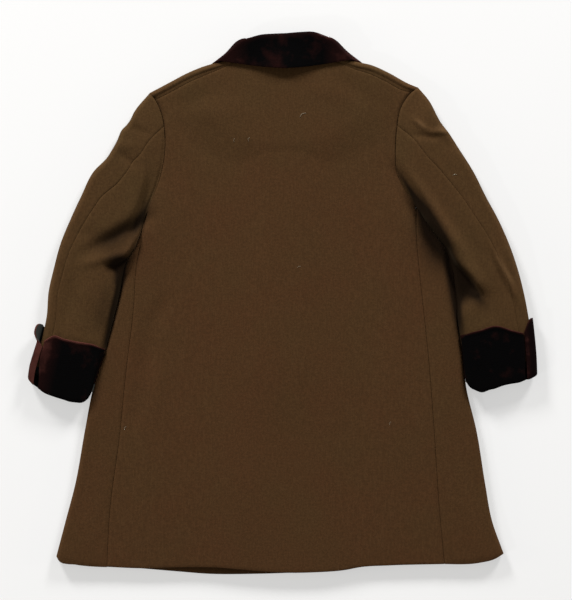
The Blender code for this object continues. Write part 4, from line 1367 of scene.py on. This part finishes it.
def collar_section(row, on_top, lift):
    """Points across the collar at one place: up the fall, over the fold and down the stand."""
    fall_edge, fold, seam = (np.array(row[k:k + 2]) for k in (0, 2, 4))
    radius = FOLD_HEIGHT / 2
    out, back = unit(fall_edge - fold), unit(seam - fold)
    fall_end, stand_start = fold + out * radius, fold + back * radius
    turn = 1 if on_top else -1
    middle = FOLD_TOP - radius if on_top else radius
    points = []
    for share in np.linspace(0, 1, FALL_STEPS + 1):
        spot = blend(fall_edge, fall_end, share)
        height = 0.0
        if on_top:
            lying = body_height(spot) + LAYER_GAP + VELVET + lift * (1 - share)
            height = blend(lying, FOLD_TOP, share**FALL_RISE)
        points.append((spot[0], spot[1], height))
    for share in np.linspace(0, 1, FOLD_STEPS + 1)[1:]:
        angle = blend(pi / 2, -pi / 2, share)
        spot = blend(fall_end, stand_start, share) - blend(out, back, share) * radius * cos(angle)
        points.append((spot[0], spot[1], middle + turn * radius * sin(angle)))
    face = FOLD_TOP - FOLD_HEIGHT if on_top else FOLD_HEIGHT
    seam_face = STAND_FACE if on_top else FOLD_HEIGHT
    for share in np.linspace(0, 1, STAND_STEPS + 1)[1:]:
        spot = blend(stand_start, seam, share)
        points.append((spot[0], spot[1], blend(face, seam_face, share)))
    return points


# %% The whole collar, from one tip round the neck to the other
SWELL_LEAST, SWELL_MORE, SWELL_PLACE, SWELL_WIDTH = 0.35, 0.9, 11.0, 3.5
STAND_BULGE, STAND_START, STAND_EASE = 0.15, 13, 3
LIFT_FADE = 0.6
FRONT_STEPS, TURN_STEPS, BACK_STEPS = 26, 12, 30


def collar_turn(low, high, side):
    """Sections between the collar's two layers, round its side."""
    outward = unit(np.array(COLLAR_OUT[side]))
    sections = []
    for k in range(1, TURN_STEPS):
        angle = blend(-pi / 2, pi / 2, k / TURN_STEPS)
        section = []
        for place, (under, over) in enumerate(zip(low, high)):
            rise = (over[2] - under[2]) / 2
            swell = SWELL_LEAST + SWELL_MORE * np.exp(-(((place - SWELL_PLACE) / SWELL_WIDTH) ** 2))
            on_stand = float(soft_step((place - STAND_START) / STAND_EASE))
            bulge = min(rise, COLLAR_BULGE[side]) * blend(swell, STAND_BULGE, on_stand)
            spot = blend(np.array(under[:2]), np.array(over[:2]), 0.5 + 0.5 * sin(angle))
            spot = spot + outward * bulge * cos(angle)
            section.append((spot[0], spot[1], under[2] + rise * (1 + sin(angle))))
        sections.append(section)
    return sections


def collar_half(side):
    front, behind = reading(COLLAR_FRONT[side]), reading(COLLAR_BACK[side])
    below = []
    for k in range(FRONT_STEPS + 1):
        below.append(collar_section(front(1 - k / FRONT_STEPS), False, 0.0))
    above = []
    for k in range(BACK_STEPS + 1):
        share = 1 - k / BACK_STEPS
        lift = COLLAR_LIFT * (1 - float(soft_step(share / LIFT_FADE)))
        above.append(collar_section(behind(share), True, lift))
    return below + collar_turn(below[-1], above[0], side) + above


# The red along the collar's fold is a painted glint; the red towards its tips is rubbing.
FOLD_PAINTED_GLINT, FOLD_ROW, FOLD_WIDTH = 0.34, 15, 3
SIDE_WEAR, SIDE_START, SIDE_LENGTH = 0.50, 26.0, 40.0


def collar_cells():
    half, other = collar_half("left"), collar_half("right")
    ring = half + other[-2::-1]
    cells, wear_and_painted_light = {}, {}
    for column, section in enumerate(ring):
        for row, point in enumerate(section):
            cells[(column, row)] = point
            # Painted highlight along the fold, rubbing towards the sides.
            on_fold = FOLD_PAINTED_GLINT * np.exp(-(((row - FOLD_ROW) / FOLD_WIDTH) ** 2))
            off_centre = abs(point[0] - CENTRE_TOP)
            at_side = SIDE_WEAR * float(soft_step((off_centre - SIDE_START) / SIDE_LENGTH))
            wear_and_painted_light[(column, row)] = clamp(on_fold + at_side)
    return cells, wear_and_painted_light


cells, wear_and_painted_light = collar_cells()
collar = cloth_piece("collar_velvet", "collar", cells, VELVET, [VELVET_COLLAR], wear_and_painted_light)

# %% [markdown]

# %% [markdown]
# ## Buttons
# Four plain buttons close the hidden front, and only their faces can be seen, from below. Each is
# turned about its axis: a raised rim, a dished middle, and threads that cross it through four holes.

# %% Buttons
BUTTON_RADIUS, BUTTON_THICKNESS = 10.0, 1.5
BUTTON_LEVELS = (190.0, 110.0, 30.0, -50.0)
BUTTON_PROFILE = [
    (0.0, 0.55), (3.0, 0.5), (5.5, 0.35), (6.6, 0.05), (8.0, 0.0), (9.4, 0.12), (10.0, 0.6),
    (9.7, 1.3), (8.5, 1.5), (0.0, 1.5),
]
BUTTON_SIDES = 48
HORN_COLOURS = (0.022, 0.013, 0.008), (0.060, 0.036, 0.020)
THREAD_COLOURS = (0.02, 0.012, 0.008), (0.06, 0.035, 0.02)
HORN = clouded("button_horn", 0.38, (260.0,) * 3, HORN_COLOURS, (0.0001, 0.3), 3.0, 0.6, (0.35, 0.7))
THREAD = clouded("button_thread", 0.8, (1800.0,) * 3, THREAD_COLOURS, (0.0002, 0.5))


def joined(net, rings, sides):
    """Faces between rings of points that follow each other; a ring may be a single point."""
    for low, high in zip(rings[:-1], rings[1:]):
        for k in range(sides):
            corners = [low[k % len(low)], low[(k + 1) % len(low)]]
            corners += [high[(k + 1) % len(high)], high[k % len(high)]]
            net.faces.new(list(dict.fromkeys(corners)))


def closed(net, rings, sides):
    """The same with both ends closed, as a thread or a fibre is."""
    joined(net, rings, sides)
    net.faces.new(rings[0][::-1])
    net.faces.new(rings[-1])


def turned(net, profile, place, sides):
    """Turns a profile of radius and height about the vertical axis through a place."""
    rings = []
    for radius, height in profile:
        count = sides if radius > 0 else 1
        ring = []
        for k in range(count):
            way = 2 * pi * k / count
            spot = (place[0] + radius * cos(way), place[1] + radius * sin(way), place[2] + height)
            ring.append(net.verts.new(Vector(spot) * MM))
        rings.append(ring)
    joined(net, rings, sides)


THREAD_WIDTH, THREAD_HEIGHT, THREAD_BOW, THREAD_SIDES = 0.35, 0.25, 0.35, 6


def stitch(net, start, end, height):
    """A short double thread between two holes, bowed out of the button's face."""
    way = unit(np.array([end[1] - start[1], start[0] - end[0]]))
    for aside in (-THREAD_WIDTH, THREAD_WIDTH):
        rings = []
        for share in np.linspace(0, 1, 7):
            bow = height - THREAD_BOW * sin(pi * share)
            x, y = blend(start[0], end[0], share), blend(start[1], end[1], share)
            ring = []
            for turn in range(THREAD_SIDES):
                angle = 2 * pi * turn / THREAD_SIDES
                off = aside + THREAD_WIDTH * cos(angle)
                spot = (x + way[0] * off, y + way[1] * off, bow + THREAD_HEIGHT * sin(angle))
                ring.append(net.verts.new(Vector(spot) * MM))
            rings.append(ring)
        closed(net, rings, THREAD_SIDES)


def add_piece(name, net, finish):
    """Makes an object of a net, with smooth shading and one finish."""
    bmesh.ops.recalc_face_normals(net, faces=list(net.faces))
    mesh = bpy.data.meshes.new(name)
    net.to_mesh(mesh)
    net.free()
    mesh.shade_smooth()
    mesh.materials.append(finish)
    piece = bpy.data.objects.new(name, mesh)
    bpy.context.scene.collection.objects.link(piece)
    return piece


HOLE_SPACING, THREAD_DEPTH = (1.6, 1.4), 0.65
for number, level in enumerate(BUTTON_LEVELS, start=1):
    x = float(centre_line(level))
    bottom = base_height((x, level)) - LAYER_GAP - BUTTON_THICKNESS
    disc = bmesh.new()
    turned(disc, BUTTON_PROFILE, (x, level, bottom), BUTTON_SIDES)
    button = add_piece("horn_button_" + str(number), disc, HORN)
    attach(button, "root")
    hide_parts("button_" + str(number))
    threads = bmesh.new()
    for y in (level - HOLE_SPACING[1], level + HOLE_SPACING[1]):
        stitch(threads, (x - HOLE_SPACING[0], y), (x + HOLE_SPACING[0], y), bottom + THREAD_DEPTH)
    sewing = add_piece("button_thread_" + str(number), threads, THREAD)
    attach(sewing, "root")
print(len(BUTTON_LEVELS), "buttons,", 2 * BUTTON_RADIUS, "mm across")

# %% [markdown]
# ## Lint
# A few pale fibres cling to the nap. Each is a fine bent strand a few millimetres long, lying on the
# cloth. A hair system could scatter them, but there are only a handful and each has its own place.

# %% Lint: x and y of its middle, length, way it points in degrees, thickness
LINT = [
    (22, 206, 8, 35, 0.35), (-37, 179, 5, 70, 0.25), (-53, 178, 4, 80, 0.2), (18, 39, 4, 20, 0.2),
    (-173, -138, 4, 60, 0.25), (118, -133, 4, 75, 0.22), (189, 140, 5, 5, 0.25),
]
LINT_COLOURS = (0.12, 0.09, 0.055), (0.20, 0.155, 0.10)
LINT_SIDES, LINT_STEPS = 5, 8
LINT_BEND, LINT_LIFT = 0.12, 0.4
ABOVE_COAT = 100.0


def surface_under(x, y):
    """Height of the dressed coat straight below a place."""
    dressed = bpy.context.evaluated_depsgraph_get()
    start = Vector((x, y, ABOVE_COAT)) * MM
    hit, spot, *_ = bpy.context.scene.ray_cast(dressed, start, Vector((0, 0, -1)))
    return spot.z / MM if hit else 0.0


strands = bmesh.new()
for x, y, length, degrees, thick in LINT:
    way = np.array([cos(degrees * pi / 180), sin(degrees * pi / 180)])
    aside = np.array([-way[1], way[0]])
    rings = []
    for share in np.linspace(-0.5, 0.5, LINT_STEPS + 1):
        spot = np.array([x, y]) + way * length * share + aside * length * LINT_BEND * cos(5 * share)
        height = surface_under(*spot) + LINT_LIFT * thick
        ring = []
        for turn in range(LINT_SIDES):
            angle = 2 * pi * turn / LINT_SIDES
            place = (*(spot + aside * thick * cos(angle)), height + thick * sin(angle))
            ring.append(strands.verts.new(Vector(place) * MM))
        rings.append(ring)
    closed(strands, rings, LINT_SIDES)
lint = add_piece("lint", strands, clouded("lint", 0.9, (2500.0,) * 3, LINT_COLOURS))
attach(lint, "root")
print(len(LINT), "pieces of lint")

# %% [markdown]
# ## Table, light and camera
# The coat lies on a white table, which glows a little, as a lit one does, so its shadows stay pale.
# Two large lamps low beyond the collar draw the soft shadows below the cuffs and the hem, two warm ones
# brush the sleeves' outer edges, and a faint one in front and a pale sky fill in the rest. The camera
# looks straight down from far away, so that perspective doesn't draw the outline apart.

# %% White table
TABLE_GLOW = 0.50
TABLE_COLOURS = (0.345, 0.345, 0.345), (0.370, 0.370, 0.370)
TABLE_DROP = 0.3 * MM
TABLE_SIZE = 6.0
net = bmesh.new()
bmesh.ops.create_grid(net, x_segments=8, y_segments=8, size=TABLE_SIZE / 2)
white = clouded("white_table", 0.9, (1.2,) * 3, TABLE_COLOURS)
glow = white.node_tree.nodes["Principled BSDF"].inputs
glow["Emission Color"].default_value = (1.0, 0.998, 0.992, 1.0)
glow["Emission Strength"].default_value = TABLE_GLOW
table = add_piece("table_top", net, white)
table.location.z = -TABLE_DROP
print("table", TABLE_SIZE, "m wide")

# %% Lights: name, place and width in metres, watts, colour
DAYLIGHT, WARM, WHITE = (1.0, 0.99, 0.98), (1.0, 0.88, 0.66), (1.0, 1.0, 1.0)
LAMPS = [
    ("upper_left", (-2.2, 3.8, 1.7), 1.1, 270.0, DAYLIGHT),
    ("upper_right", (2.2, 3.8, 1.7), 1.1, 220.0, DAYLIGHT),
    ("left_side", (-2.2, -0.2, 0.5), 0.5, 9.0, WARM),
    ("right_side", (2.2, -0.3, 0.5), 0.5, 7.0, WARM),
    ("faint_front", (-2.1, -1.4, 1.3), 0.10, 11.0, WHITE),
]
SKY_STRENGTH = 0.25


def soft_light(name, place, size, power, colour):
    """A round lamp that faces the coat's middle."""
    lamp = bpy.data.lights.new(name, "AREA")
    lamp.shape = "DISK"
    lamp.size = size
    lamp.energy = power
    lamp.color = colour
    holder = bpy.data.objects.new(name, lamp)
    holder.location = place
    holder.rotation_euler = (-Vector(place)).to_track_quat("-Z", "Y").to_euler()
    bpy.context.scene.collection.objects.link(holder)


for lamp in LAMPS:
    soft_light(*lamp)
sky = bpy.data.worlds.new("studio_sky")
sky.use_nodes = True
backdrop = sky.node_tree.nodes["Background"].inputs
backdrop["Color"].default_value = (0.98, 0.99, 1.0, 1.0)
backdrop["Strength"].default_value = SKY_STRENGTH
bpy.context.scene.world = sky
bpy.context.scene.view_settings.view_transform = "Standard"
print(len(LAMPS), "lamps and a pale sky")

# %% Camera
PIXEL = 1.1 * MM
PICTURE = (572, 600)
PHOTO_ORIGIN = (282.5, 302.3)
CAMERA_HEIGHT = 5.0
SENSOR = 36.0
centre = (PIXEL * (PICTURE[0] / 2 - PHOTO_ORIGIN[0]), PIXEL * (PHOTO_ORIGIN[1] - PICTURE[1] / 2))
lens = bpy.data.cameras.new("camera")
lens.sensor_fit = "VERTICAL"
lens.sensor_height = SENSOR
lens.lens = SENSOR * CAMERA_HEIGHT / (PIXEL * PICTURE[1])
camera = bpy.data.objects.new("camera", lens)
camera.location = (centre[0], centre[1], CAMERA_HEIGHT)
bpy.context.scene.collection.objects.link(camera)
bpy.context.scene.camera = camera
print("camera", CAMERA_HEIGHT, "m above the table, lens", round(lens.lens), "mm")
